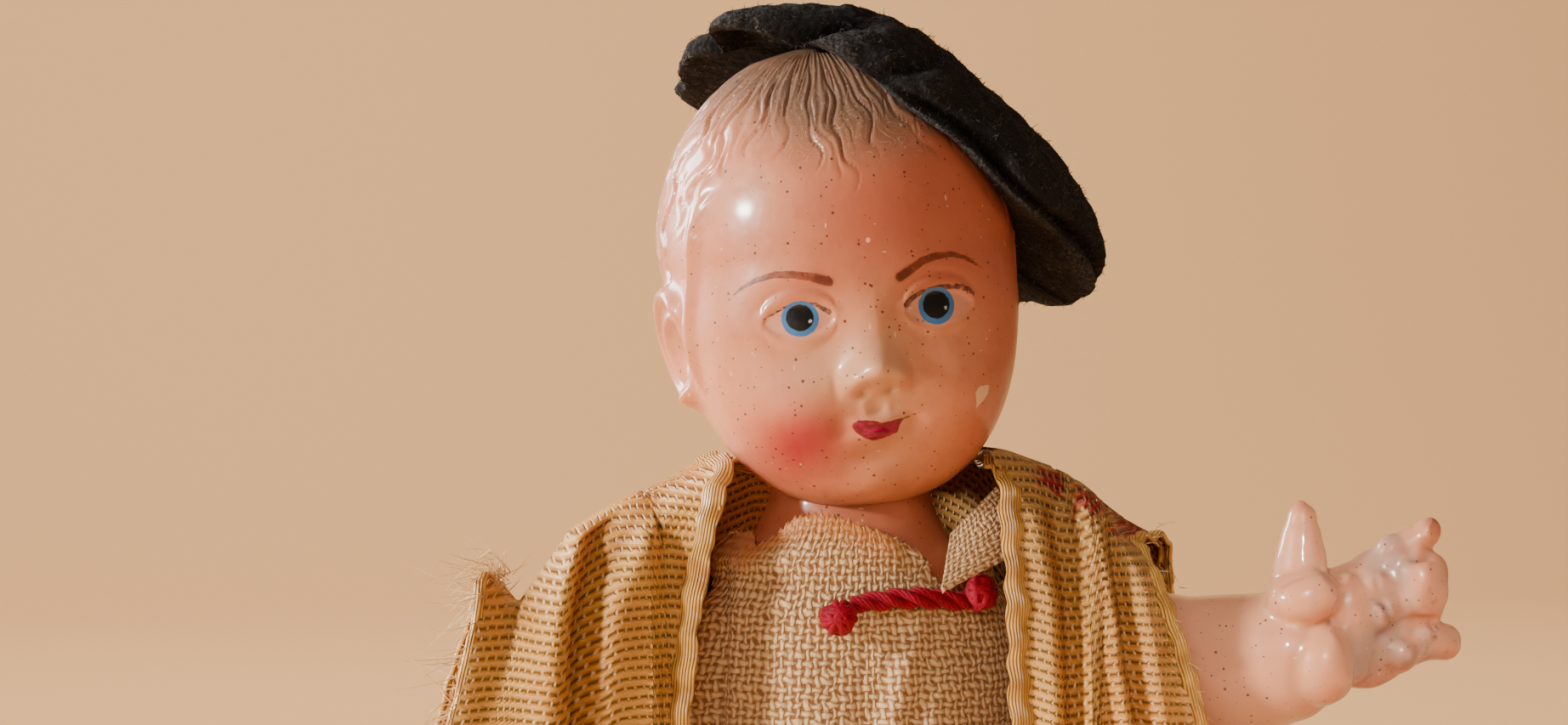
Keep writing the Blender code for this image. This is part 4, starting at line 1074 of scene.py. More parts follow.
def make_right_arm(skin):
    """The arm inside the wide sleeve, its hand low past the cuff."""
    clay = Clay()
    clay.limb((-SHOULDER[0], SHOULDER[1], SHOULDER[2]), RIGHT_ELBOW, 5.0, 5.2)
    clay.limb(RIGHT_ELBOW, RIGHT_WRIST, 5.2, 3.8)
    palm = Vector(RIGHT_WRIST) + Vector((-4.0, -0.6, -2.8))
    clay.ball(palm, 4.5, (0.6, 0.95, 1.1), math.radians(42))
    root = palm + Vector((1.5, -2.4, 1.8))
    clay.limb(root, root + Vector((-2.5, -1.6, -2.8)), 1.8, 1.3)
    for side, drop in ((-3.0, 0.6), (-1.1, 1.4), (0.8, 1.3), (2.6, 0.3)):
        root = palm + Vector((-1.8, side, -2.2))
        clay.limb(root, root + Vector((-3.0, 0.0, -3.0 - drop)), 1.5, 1.2)
    points, normals, faces = clay.melt("arm_clay", 0.4, 5)
    hand = ease(-33.0, -36.0, points[:, 0])
    points = points + normals * (0.08 * wobble(points, 4.0, 21))[:, None]
    # The hand's underside gets painted shade, kept in the worn layer.
    under = ease(-0.2, -0.9, normals[:, 2]) * hand
    layers = {"groove": under * 0.0, "worn": 0.3 * under, "stained": 0.2 + 0.4 * hand}
    piece = add_piece("lowered_arm", make_mesh("lowered_arm", points, faces, layers), skin)
    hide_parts("arm_right")
    return piece


def make_leg(name, node, side, paint):
    """A leg with its moulded slip-on shoe, flat under the sole."""
    x = side * LEG_PLACE
    clay = Clay()
    clay.limb((x, 0.0, 45.5), (x, -0.4, 30.0), 5.0, 4.4)
    clay.limb((x, -0.4, 30.0), (x, 0.6, 9.0), 4.4, 3.6)
    clay.ball((x + side * 0.8, -7.9, 0.0), 5.2, (1.0, 1.0, 1.13))
    clay.ball((x, 2.7, 0.0), 4.68, (1.0, 1.0, 1.48))
    clay.ball((x, -2.6, 0.0), 4.78, (1.0, 1.5, 1.29))
    points, normals, faces = clay.melt("leg_clay", 0.42, 5)
    sole = bell(points[:, 2], 1.5, 0.3) * np.clip(1.0 - np.abs(normals[:, 2]), 0.0, 1.0)
    opening = np.abs(points[:, 2] - 6.6 - 0.25 * (points[:, 1] + 2.0)) / 0.4
    rim = bell(opening, 0.0, 1.0) * ease(-9.0, -7.0, points[:, 1])
    points = points + normals * (0.18 * rim - 0.14 * sole)[:, None]
    points[:, 2] = np.maximum(points[:, 2], 0.0)
    piece = add_piece(name, make_mesh(name, points, faces), paint)
    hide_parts(node)
    return piece


# The trousers

TROUSER_LEG_RADIUS = 6.7
TROUSER_HEM = 8.6
WAIST = 68.0


def make_trousers(cloth):
    """Two wide legs and a waist of one plain dark cloth, open at the hems."""
    columns = 96
    leg_rows = 70
    angle = circle(columns)
    points = []
    faces = []
    start = 0
    coordinates = []
    for side in (-1, 1):
        z = np.linspace(TROUSER_HEM, 54.5, leg_rows)
        zz, aa = np.meshgrid(z, angle, indexing="ij")
        wide = TROUSER_LEG_RADIUS * (1.06 - 0.06 * (zz - TROUSER_HEM) / 46.0)
        folds = 0.28 * np.sin(3.0 * aa + 0.08 * zz + side) * ease(54.0, 30.0, zz)
        folds += 0.3 * bell(zz, 14.0, 3.0) * np.sin(2.0 * aa + 1.2)
        folds -= 0.25 * bell(zz, 9.9, 0.25)
        wide = wide + folds * 0.8 - 0.15
        x = side * LEG_PLACE + wide * np.cos(aa) * np.where(np.cos(aa) * side < 0.0, 0.97, 1.0)
        y = wide * np.sin(aa) * (1.0 + 0.24 * ease(38.0, 54.0, zz))
        points.append(np.stack((x, y, zz), axis=-1).reshape(-1, 3))
        coordinates.append(np.stack((aa * TROUSER_LEG_RADIUS, zz, zz * 0.0), axis=-1).reshape(-1, 3))
        faces.append(grid_faces(leg_rows, columns, wrap=True) + start)
        start += leg_rows * columns
    z = np.linspace(50.4, WAIST, 34)
    zz, aa = np.meshgrid(z, angle, indexing="ij")
    across, deep = body_size(zz)
    grow = 1.15 + 0.15 * np.sin(5.0 * aa) * ease(66.0, 58.0, zz)
    across = np.where(zz < 51.5, across * 0.96, across)
    x, y = oval(aa, across + grow, deep + grow, BODY_SQUARENESS)
    points.append(np.stack((x, y, zz), axis=-1).reshape(-1, 3))
    coordinates.append(np.stack((aa * 12.0, zz, zz * 0.0), axis=-1).reshape(-1, 3))
    faces.append(grid_faces(len(z), columns, wrap=True) + start)
    values = {"weave": np.vstack(coordinates), "faded": np.zeros(sum(len(p) for p in points))}
    mesh = make_mesh("trousers_cloth", np.vstack(points), np.vstack(faces), values)
    piece = add_piece("trousers_cloth", mesh, cloth)
    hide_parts("trousers")
    return piece


# The shirt

def shirt_ease(z):
    """How much wider than the body the shirt hangs."""
    over_trousers = 1.0 - ease(66.0, 76.0, z)
    collar = ease(107.0, 110.0, z)
    return 1.35 * over_trousers + 0.9 * collar


# The neck edge's heights around the shirt, by angle
COLLAR_EDGE = (
    (-180.0, 111.0), (-158.0, 111.4), (-146.0, 110.3), (-137.0, 111.5), (-128.0, 112.7), (-114.0, 113.1),
    (-100.0, 112.6), (-90.0, 111.9), (-80.0, 111.0), (-72.0, 109.9), (-66.0, 107.8), (-60.0, 107.0),
    (-50.0, 109.6), (-38.0, 111.4), (-20.0, 110.6), (60.0, 110.6), (180.0, 111.0),
)


# Folds below the closure: each one's place at the top, its lean, its half-width and its height
SHIRT_FOLDS = ((5.6, 0.22, 0.9, 0.4), (4.4, 0.24, 0.7, -0.35), (7.4, 0.2, 0.8, -0.35), (2.0, 0.1, 0.9, -0.3))
SHIRT_HEM = 61.0
ARMHOLE = (9.3, 4.7, 5.4)


def shirt_surface(angle, z):
    """Points of the shirt's outer face at angles in degrees, with -90 at the front, and at heights."""
    across_size, deep_size = body_size(z)
    grow = 1.0 + shirt_ease(z)
    across_size, deep_size = across_size + grow, deep_size + grow
    x, y = oval(np.radians(angle), across_size, deep_size, BODY_SQUARENESS)
    front = ease(-0.5, -4.0, y)
    across, up = seen(x, y, z)
    fade = ease(111.0, 104.0, up)
    folds = 1.9 * bell(across + 12.4 + 0.04 * (100.0 - up), 0.0, 1.3) * fade
    folds -= 0.9 * bell(across + 10.5 + 0.04 * (100.0 - up), 0.0, 0.5) * fade
    for top, lean, width, depth in SHIRT_FOLDS:
        line = top - lean * (106.5 - up) * ease(112.0, 98.0, up)
        folds += depth * bell(across, line, width) * ease(107.5, 103.5, up)
    folds += 0.2 * np.sin(0.7 * x + 0.12 * z) * ease(110.0, 100.0, z)
    way = np.hypot(x / across_size ** 2, y / deep_size ** 2)
    x = x + folds * front * x / across_size ** 2 / way
    y = y + folds * front * y / deep_size ** 2 / way
    return np.stack((x, y, z), axis=-1)


def make_shirt(cloth):
    """A sleeveless linen shirt, its neck edge cut in a ragged line and open at the throat."""
    dense = np.linspace(-176.0, -4.0, 236)
    sparse = np.linspace(2.0, 178.0, 50)
    angle = np.concatenate((dense, sparse))
    rows = 142
    share = np.linspace(0.0, 1.0, rows)
    tops = np.interp(angle, [a for a, _ in COLLAR_EDGE], [z for _, z in COLLAR_EDGE])
    tops = tops + 0.18 * np.sin(angle * 1.7) + 0.1 * np.sin(angle * 4.3)
    z = SHIRT_HEM + (tops[None, :] - SHIRT_HEM) * share[:, None]
    aa = np.repeat(angle[None, :], rows, axis=0)
    points = shirt_surface(aa, z).reshape(-1, 3)
    chest = shirt_surface(angle, np.full(len(angle), 95.0))
    u = np.repeat(travel(chest)[None, :], rows, axis=0).ravel()
    v = z.ravel()
    lean = 0.05 * (v - 100.0) * ease(10.0, 30.0, u)
    edge = (tops[None, :] - z).ravel()
    left = ease(3.5, 1.0, points[:, 0])
    stiff = ease(3.2, 0.4, edge) * left * ease(2.0, -4.0, points[:, 1])
    points[:, 1] -= 0.6 * stiff
    values = {"weave": np.stack((u + lean, v, v * 0.0), axis=1), "stain": stiff * 0.9}
    faces = grid_faces(rows, len(angle), wrap=True)
    shoulder = np.array(SHOULDER)
    keep = np.ones(len(points), dtype=bool)
    for side in (-1.0, 1.0):
        away = (points - shoulder * (side, 1.0, 1.0)) / ARMHOLE
        keep &= np.linalg.norm(away, axis=1) > 1.0
    faces = faces[keep[faces].all(axis=1)]
    mesh = make_mesh("linen_shirt", points, faces, values)
    piece = add_piece("linen_shirt", mesh, cloth)
    thicken(piece, 0.35)
    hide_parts("shirt")
    return piece


def make_collar_flap(cloth):
    """The left front's folded corner, its outer edge cut in small teeth."""
    rows, columns = 34, 34
    corners = ((10.6, -6.4, 115.0), (14.1, -7.6, 110.8), (5.0, -11.2, 107.0), (6.4, -8.6, 111.4))
    corners = [np.array(corner) for corner in corners]
    s, t = np.meshgrid(np.linspace(0.0, 1.0, rows), np.linspace(0.0, 1.0, columns), indexing="ij")
    top = corners[0] * (1.0 - s)[..., None] + corners[1] * s[..., None]
    low = corners[3] * (1.0 - s)[..., None] + corners[2] * s[..., None]
    points = top * (1.0 - t)[..., None] + low * t[..., None]
    teeth = 0.22 * np.abs(np.sin(t * 30.0)) * ease(0.9, 1.0, s)
    points[..., 0] += teeth
    points[..., 1] -= 0.6 * np.sin(math.pi * s) * np.sin(math.pi * t) + 0.5 * s
    values = {
        "weave": np.stack((s * 8.0, t * 9.0, s * 0.0), axis=-1).reshape(-1, 3),
        "stain": (0.2 * ease(0.85, 1.0, s)).ravel(),
    }
    mesh = make_mesh("collar_flap", points.reshape(-1, 3), grid_faces(rows, columns), values)
    piece = add_piece("collar_flap", mesh, cloth)
    thicken(piece, 0.4)
    return piece


# The jacket

# The jacket's upper edge from the right cuff to the left one: places across and heights
SHOULDER_LINE = (
    (-33.0, 105.2), (-29.6, 108.6), (-28.6, 108.0), (-26.6, 105.6), (-25.0, 108.0), (-22.5, 111.6),
    (-18.6, 113.8),
    (-14.4, 115.4), (-10.5, 117.2), (-6.0, 118.2), (6.0, 118.4), (12.5, 117.6), (16.5, 116.2), (19.5, 114.3),
    (22.3, 112.0), (25.5, 110.0), (28.0, 108.4), (30.0, 107.2),
)
# Heights, and where the right and the left front edge are at each
FRONT_EDGES = (
    (60.0, -14.6, 9.6), (96.0, -14.9, 10.6), (106.0, -13.7, 10.4), (112.0, -12.3, 10.2), (121.0, -9.4, 10.0),
)
JACKET_HEM = 64.0
HEM_SPARE = 24.0
RIB_PITCH = 0.76
TICK_PITCH = 0.55
JACKET_SIDE = 16.8
RIGHT_CUFF = -28.8
LEFT_CUFF = 24.6
LEFT_UNDERARM = 86.5
RIGHT_UNDERARM = 80.0

# Folds of the front, as seen from the photograph's side: each one's line from the top down, its half-width,
# its height, and how much steeper it is on the doll's left than on its right
FRONT_FOLDS = (
    (((-19.5, 113.6), (-22.0, 111.0), (-22.9, 107.8), (-23.5, 104.3), (-23.6, 100.0), (-24.4, 76.0)),
     1.6, 2.3, 0.9),
    (((-13.5, 115.0), (-16.7, 110.2), (-18.4, 106.7), (-19.5, 102.8), (-20.1, 98.0), (-20.6, 84.0)),
     1.6, 1.1, -0.8),
    (((-29.0, 105.0), (-31.0, 97.0), (-31.4, 84.0)), 1.3, 0.5, 0.2),
    (((14.6, 114.0), (15.6, 108.0), (16.0, 106.0), (16.3, 100.0), (17.2, 80.0)), 1.0, 1.5, 0.9),
    (((18.4, 115.0), (18.9, 109.0), (19.1, 106.0), (19.2, 100.0), (19.8, 84.0)), 0.8, 1.2, 0.5),
    (((19.6, 113.5), (20.3, 108.0), (20.7, 105.5), (21.2, 100.7), (22.4, 94.0), (22.8, 80.0)), 0.8, 1.6, 0.9),
    (((22.6, 111.4), (23.5, 106.0), (24.4, 100.7), (25.6, 92.0)), 0.95, 1.3, 0.3),
)


def jacket_column(x):
    """The jacket's section in the plane at x: its closed oval, from the bottom of the front over the top."""
    reach = abs(x)
    sleeve = float(ease(JACKET_SIDE - 0.9, JACKET_SIDE + 0.9, reach))
    top = float(np.interp(x, [p[0] for p in SHOULDER_LINE], [p[1] for p in SHOULDER_LINE]))
    underarm = LEFT_UNDERARM if x > 0 else RIGHT_UNDERARM
    bottom = (JACKET_HEM - HEM_SPARE) * (1.0 - sleeve) + underarm * sleeve
    outward = float(ease(11.0, 23.0, reach))
    middle_y = 0.9 * (1.0 - outward) - (2.6 if x > 0 else 1.2) * outward
    front = 12.2 - 1.7 * outward
    back = 12.4 - 2.2 * outward
    squareness = 5.0 - 2.5 * float(ease(9.0, 17.0, reach))
    middle_z = (top + bottom) / 2.0
    half = (top - bottom) / 2.0
    angle = np.linspace(math.pi, -math.pi, 721)
    c, s = np.cos(angle), np.sin(angle)
    z = middle_z + half * np.sign(c) * np.abs(c) ** (2.0 / squareness)
    deep = np.where(s > 0.0, front, back)
    y = middle_y - deep * np.sign(s) * np.abs(s) ** (2.0 / squareness)
    slant = math.copysign(0.28, x) * float(ease(18.0, 25.0, reach))
    out = x + slant * (middle_z + half - z)
    return np.stack((out, y, z), axis=1)


def front_fold(across, up):
    """How far the folds move the jacket's front out, and how deep a point lies in the hollow beside one,
    which is painted as shade.
    """
    out = np.zeros_like(across)
    valley_shade = np.zeros_like(across)
    for line, width, height, steep in FRONT_FOLDS:
        heights = [point[1] for point in line][::-1]
        places = [point[0] for point in line][::-1]
        spread = width * (1.0 + 0.012 * (line[0][1] - up))
        side = (across - np.interp(up, heights, places)) / spread * math.copysign(1.0, steep)
        sharp = abs(steep)
        starts = ease(line[0][1] + 1.5, line[0][1] - 2.5, up)
        ridge = bell(side, 0.0, np.where(side > 0.0, 1.0 - 0.55 * sharp, 1.1))
        beside = bell(side, 1.15, 0.6) * sharp
        out += height * (ridge - 0.7 * beside) * starts
        # The hollow beside each fold, painted as shade.
        valley_shade = np.maximum(valley_shade, (beside - ridge) * starts * min(height, 1.5) / 1.5)
    return out, np.clip(valley_shade, 0.0, 1.0)


def rib_height(across, z):
    """The height that a rib of the weave is counted from: the ribs climb out of the right sleeve's fold."""
    climb = 0.5 * (np.clip(across, -23.5, -18.8) + 23.5)
    dip = 1.0 * bell(across, 17.6, 2.0)
    return z - climb + dip + 0.2 * np.sin(0.5 * across)


def resample(line, count):
    """A line's points spread along it, less dense on the back, and how far along each one is."""
    steps = np.linalg.norm(np.diff(line, axis=0), axis=1)
    reach = np.concatenate(([0.0], np.cumsum(steps)))
    behind = ease(2.0, 6.0, (line[1:, 1] + line[:-1, 1]) / 2.0)
    weight = np.concatenate(([0.0], np.cumsum(steps * (1.0 - 0.35 * behind))))
    at = np.linspace(0.0, weight[-1], count)
    spread = np.stack([np.interp(at, weight, line[:, k]) for k in range(3)], axis=1)
    return spread, np.interp(at, weight, reach)


def cuff_shift(x, y):
    """How the cuffs' edges lie further in or out than the sleeves' plain ends."""
    left = ease(JACKET_SIDE + 1.0, LEFT_CUFF, x)
    right = ease(-JACKET_SIDE - 2.0, RIGHT_CUFF, x)
    behind = ease(-6.0, 3.0, y)
    return left * (4.6 * behind - 2.9) + right * (1.9 * behind - 1.5)


def make_jacket(cloth):
    """The jacket cut in one piece with its wide sleeves, its ribs running across from cuff to cuff."""
    body_x = np.linspace(-JACKET_SIDE, JACKET_SIDE, 63)
    right_x = np.linspace(RIGHT_CUFF, -JACKET_SIDE, 26)
    left_x = np.linspace(JACKET_SIDE, LEFT_CUFF, 18)
    points = []
    faces = []
    coordinates = []
    valley_shades = []
    start = 0
    for columns, rows in ((body_x, 1010), (right_x, 740), (left_x, 640)):
        grid = []
        reach = []
        for x in columns:
            ring = jacket_column(x)
            if abs(x) <= JACKET_SIDE:
                ring = ring[ring[:, 2] >= JACKET_HEM]
                side = abs(x) / (JACKET_SIDE + 0.02)
                tuck = (1.0 - side ** 9) ** 0.35
                underarm = LEFT_UNDERARM if x > 0 else RIGHT_UNDERARM
                share = ease(underarm + 6.0, underarm - 2.0, ring[:, 2])
                ring[:, 1] = 0.5 + (ring[:, 1] - 0.5) * (1.0 - share * (1.0 - tuck))
            line, at = resample(ring, rows)
            grid.append(line)
            reach.append(at)
        grid = np.array(grid)
        at = np.array(reach)
        x, y, z = grid[..., 0], grid[..., 1], grid[..., 2]
        x = x + cuff_shift(columns[:, None], y)
        grid[..., 0] = x
        front = ease(-1.0, -6.0, y)
        back = ease(4.0, 8.0, y)
        across, up = seen(x, y, z)
        apex = np.argmax(z, axis=1)
        top = z[np.arange(len(columns)), apex]
        over = at - at[np.arange(len(columns)), apex][:, None] + top[:, None]
        blend = ease(-3.0, 4.0, y)
        v = rib_height(across, z) * (1.0 - blend) + over * blend
        rib = np.abs(np.sin(math.pi * v / RIB_PITCH))
        out, valley_shade = front_fold(across, up)
        out = out * front
        valley_shades.append((valley_shade * front).ravel())
        out += 0.6 * back * np.sin(0.55 * x + 0.05 * z) * ease(60.0, 90.0, z)
        lift = 0.26 * (rib ** 0.75 - 0.6)
        grid[..., 1] -= out + lift * front
        grid[..., 1] += lift * back
        grid[..., 2] += lift * (1.0 - front) * (1.0 - back)
        points.append(grid.reshape(-1, 3))
        u = np.repeat(columns[:, None], rows, axis=1)
        coordinates.append(np.stack((u, v, v * 0.0), axis=-1).reshape(-1, 3))
        faces.append(grid_faces(len(columns), rows) + start)
        start += grid.shape[0] * rows
    points = np.vstack(points)
    faces = np.vstack(faces)
    x, y, z = points.T
    heights = [row[0] for row in FRONT_EDGES]
    left_edge = np.interp(z, heights, [row[1] for row in FRONT_EDGES])
    right_edge = np.interp(z, heights, [row[2] for row in FRONT_EDGES])
    open_front = (x > left_edge) & (x < right_edge) & (y < -0.5)
    neck = ((np.abs(x) / 11.4) ** 2.4 + (np.abs(y - 0.6) / 9.4) ** 2.4 < 1.0) & (z > 108.0)
    gone = open_front | neck
    faces = faces[~gone[faces].any(axis=1)]
    across, up = seen(x, y, z)
    flower = np.zeros(len(points))
    for middle_across, middle_up in ((16.2, 115.2), (19.2, 113.7), (22.3, 111.2), (24.6, 110.2)):
        along = (across - middle_across) * 0.82 - (up - middle_up) * 0.57
        aside = (across - middle_across) * 0.57 + (up - middle_up) * 0.82
        spot = np.hypot(along / 1.5, aside / 0.8) + 0.25 * np.sin(3.0 * along + 7.0 * aside)
        flower = np.maximum(flower, ease(1.1, 0.8, spot) * (y < 4.0))
    for fx, fy, fz in ((-20.0, 8.6, 106.0), (-9.0, 13.2, 90.0), (0.0, 13.2, 104.0), (8.0, 13.2, 92.0),
                       (3.0, 13.2, 76.0), (20.0, 8.6, 105.0)):
        away = np.linalg.norm(points - (fx, fy, fz), axis=1)
        turn = np.arctan2(z - fz, x - fx)
        flower = np.maximum(flower, ease(0.2, -0.1, away - 1.9 - 0.5 * np.cos(5.0 * turn)))
    # Painted shade on the doll's left, high up, away from the lamp.
    far_side_shade = ease(3.0, 12.0, x) * ease(92.0, 112.0, z)
    valley_shade = np.concatenate(valley_shades)
    values = {"weave": np.vstack(coordinates), "flower": flower, "far_side_shade": far_side_shade, "valley_shade": valley_shade}
    mesh = make_mesh("ribbed_jacket", points, faces, values)
    piece = add_piece("ribbed_jacket", mesh, cloth)
    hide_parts("jacket")
    return piece


def jacket_front_y(x, z):
    """Where the jacket's front stands at x and z, without its folds."""
    ring = jacket_column(x)
    apex = int(np.argmax(ring[:, 2]))
    front = ring[:apex + 1]
    return float(np.interp(z, front[:, 2], front[:, 1]))


def make_band(name, path, out, width, finish, seed, arch=0.35, crimp=0.24):
    """A woven edge along a path of points, arched across and slightly crimped along, facing outwards."""
    joined = smooth_line(np.hstack((path, out)), 280)
    path, out = joined[:, :3], joined[:, 3:]
    tangent = unit(np.gradient(path, axis=0))
    side = unit(np.cross(tangent, out))
    out = np.cross(side, tangent)
    columns = 16
    t = np.linspace(-0.5, 0.5, columns)
    reach = travel(path)
    widths = width * (1.0 + 0.12 * np.sin(reach * 0.9 + seed) + 0.05 * np.sin(reach * 3.1))
    hump = arch * (1.0 - (2.0 * t) ** 2)
    wave = crimp * (np.sin(reach * 2.1 + seed) + 0.6 * np.sin(reach * 0.7 + 2.0 * seed))
    offset = hump[None, :] + wave[:, None] * (0.4 + 1.2 * np.abs(t))[None, :]
    points = path[:, None, :] + side[:, None, :] * (t[None, :] * widths[:, None])[..., None]
    points = points + out[:, None, :] * offset[..., None]
    u = t[None, :] * widths[:, None]
    weave = np.stack((u, np.repeat(reach[:, None], columns, 1), u * 0.0), axis=-1)
    faces = grid_faces(len(path), columns)
    mesh = make_mesh(name, points.reshape(-1, 3), faces, {"weave": weave.reshape(-1, 3)})
    piece = add_piece(name, mesh, finish)
    thicken(piece, 0.3)
    return piece


def cuff_ring(x):
    """The points of a cuff's edge with its shift, and the way each one faces."""
    ring = jacket_column(x)[::24].copy()
    ring[:, 0] += cuff_shift(x, ring[:, 1])
    centre = ring.mean(axis=0)
    out = ring - centre
    out[:, 0] = 0.0
    out /= np.linalg.norm(out, axis=1)[:, None]
    return ring, out


def make_fray(name, roots, aim, count, length, radius, spread, seed, finish):
    """Loose threads that stand out of a frayed edge."""
    rng = np.random.default_rng(seed)
    roots = smooth_line(roots, 60)
    paths = []
    for _ in range(count):
        root = roots[rng.integers(len(roots))] + rng.normal(size=3) * 0.25
        way = np.array(aim) + rng.normal(size=3) * spread
        way /= np.linalg.norm(way)
        bend = rng.normal(size=3) * 0.45
        reach = length * rng.uniform(0.35, 1.0)
        t = np.linspace(0.0, 1.0, 7)[:, None]
        paths.append(root + way * reach * t + bend * reach * t ** 2 * 0.6)
    points, faces = tubes(paths, radius, 4, 0.75)
    return add_piece(name, make_mesh(name, points, faces), finish)


# The beret

BERET_NORMAL = np.array([0.57, 0.40, 0.72])
BERET_DISTANCE = 13.3
BERET_RADIUS = 18.8
BERET_HALF_HEIGHT = 4.4
# The deep pleats of its raised side: each one's direction about the crown, its half-width and its depth
PLEATS = ((2.72, 0.09, 1.0), (3.24, 0.10, 2.3), (3.78, 0.09, 2.0), (4.28, 0.07, 1.3))


def beret_axes():
    """The way the beret's crown points, the way it droops, and the way across to the back."""
    normal = BERET_NORMAL / np.linalg.norm(BERET_NORMAL)
    droop = np.array([normal[2], 0.0, -normal[0]])
    droop /= np.linalg.norm(droop)
    return normal, droop, np.cross(normal, droop)


def beret_surface(turn, climb):
    """The slack pancake of the beret: climb is +90 degrees at its crown and -90 under it."""
    normal, droop, back = beret_axes()
    centre = HEAD_CENTRE + normal * BERET_DISTANCE
    flat = np.cos(climb) ** 0.72
    z = np.sin(climb)
    front = np.clip(-np.sin(turn), 0.0, 1.0)
    reach = BERET_RADIUS * (1.0 - 0.24 * front * front) + 0.45 * np.cos(7.0 * turn + 0.6)
    along = reach * flat * np.cos(turn)
    across = reach * flat * np.sin(turn)
    lift = BERET_HALF_HEIGHT * np.sign(z) * np.abs(z) ** 0.9
    lift = lift - 0.008 * np.clip(along - 3.0, 0.0, None) ** 2 - 0.03 * np.clip(-along - 4.0, 0.0, None) ** 2
    lift = lift - 0.034 * np.clip(-across - 1.0, 0.0, None) ** 2
    lobe = bell(turn, math.pi, 0.75)
    lift = lift + 3.2 * lobe * ease(-0.15, -0.75, climb)
    return centre + along[..., None] * droop + across[..., None] * back + lift[..., None] * normal


def make_beret(material):
    """The felt from its crown over its edge and under it to the head, gathered in soft pleats."""
    columns, rows = 300, 190
    turn = circle(columns)
    crown = math.pi / 2.0 - 0.0001
    lowest = -math.pi / 2.0 + 0.02
    fine = np.linspace(crown, lowest, 400)
    tt, cc = np.meshgrid(turn, fine, indexing="ij")
    surface = beret_surface(tt, cc)
    local = unroll_head(surface.reshape(-1, 3))
    away = np.linalg.norm(local, axis=1)
    depth = (away - skull_reach(local / away[:, None])).reshape(columns, 400)
    climbs = []
    for i in range(columns):
        under = np.nonzero((fine < 0.25) & (depth[i] < 0.3))[0]
        climbs.append(fine[under[0]] if len(under) else lowest)
    climbs = np.array(climbs)
    kernel = np.exp(-np.linspace(-2.0, 2.0, 9) ** 2)
    kernel /= kernel.sum()
    climbs = np.convolve(np.concatenate((climbs[-4:], climbs, climbs[:4])), kernel, mode="valid")
    share = np.linspace(0.0, 1.0, rows)
    cc = crown + (climbs[:, None] - crown) * share[None, :]
    tt = np.repeat(turn[:, None], rows, axis=1)
    points = beret_surface(tt, cc)
    normal = beret_axes()[0]
    rim = bell(cc, 0.0, 0.5)
    pleats = 0.5 * np.sin(11.0 * tt + 1.5 * np.sin(2.0 * tt)) * ease(0.3, -0.6, cc)
    for middle, width, depth in PLEATS:
        bend = middle + 0.12 * np.sin(2.5 * cc)
        pleats -= depth * bell(tt, bend, width) * ease(1.25, 0.5, cc)
        pleats += 0.45 * depth * bell(tt - bend, 2.0 * width, 1.3 * width) * ease(1.0, 0.3, cc)
    brim = ease(4.1, 4.6, tt) * ease(6.35, 6.1, tt)
    crease = cc + 0.28 + 0.1 * np.sin(5.0 * tt)
    pleats += brim * (1.1 * bell(crease, -0.16, 0.14) - 1.6 * bell(crease, 0.14, 0.12))
    lumps = 0.45 * wobble(points.reshape(-1, 3), 13.0, 31).reshape(points.shape[:2])
    lumps += 0.2 * wobble(points.reshape(-1, 3), 3.0, 32).reshape(points.shape[:2])
    lumps += 0.07 * wobble(points.reshape(-1, 3), 0.9, 33).reshape(points.shape[:2])
    outward = points - HEAD_CENTRE - normal * BERET_DISTANCE
    outward /= np.linalg.norm(outward, axis=-1)[..., None]
    points = points + outward * (lumps + pleats * (0.35 + 0.65 * rim))[..., None]
    points = points.reshape(-1, 3)
    local = unroll_head(points)
    away = np.linalg.norm(local, axis=1)
    reach = skull_reach(local / away[:, None]) + 0.35
    push = np.where(away < reach, reach / away, 1.0)
    x, y, z = (local * push[:, None]).T
    points = roll_head(np.stack((x, y, z), axis=1))
    faces = grid_faces(columns, rows)
    row = np.arange(rows - 1)
    end = row + (columns - 1) * rows
    faces = np.vstack((faces, np.stack((end, row, row + 1, end + 1), axis=1)))
    last = np.zeros((columns, rows))
    last[:, -14:] = np.linspace(0.0, 1.0, 14)
    near_front = bell(tt, 4.15, 0.25)
    faded = (last * near_front).ravel() * 0.8
    # Where the pleats rise, for a painted highlight.
    ridge = ease(0.15, 1.0, pleats).ravel()
    # Where the pleats sink, for painted shade.
    hollow = ease(-0.4, -2.0, pleats).ravel()
    mesh = make_mesh("felt_beret", points, faces, {"faded": faded, "ridge": ridge, "hollow": hollow})
    piece = add_piece("felt_beret", mesh, material)
    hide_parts("beret")
    return piece, points, faces


def make_fuzz(name, points, faces, count, length, seed, finish):
    """Short fibres that stand out of a felted surface."""
    rng = np.random.default_rng(seed)
    chosen = faces[rng.integers(len(faces), size=count)]
    corners = points[chosen]
    middle = corners.mean(axis=1)
    normal = unit(np.cross(corners[:, 1] - corners[:, 0], corners[:, 3] - corners[:, 0]))
    centre = points.mean(axis=0)
    flip = np.sign(np.einsum("ij,ij->i", normal, middle - centre))
    normal *= np.where(flip == 0.0, 1.0, flip)[:, None]
    paths = []
    for root, up in zip(middle, normal):
        lean = rng.normal(size=3) * 0.9
        way = up * 0.7 + lean
        way /= np.linalg.norm(way)
        reach = length * rng.uniform(0.4, 1.3)
        bend = rng.normal(size=3) * 0.5
        t = np.linspace(0.0, 1.0, 4)[:, None]
        paths.append(root + way * reach * t + bend * reach * t ** 2)
    thread_points, thread_faces = tubes(paths, 0.035, 3, 0.6)
    return add_piece(name, make_mesh(name, thread_points, thread_faces), finish)


# The closure on the shirt

def node_box(node):
    """The corners of a solid's box, in millimetres on the doll's axis."""
    return [(np.array(corner) - AXIS) * 1000.0 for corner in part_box(node)]


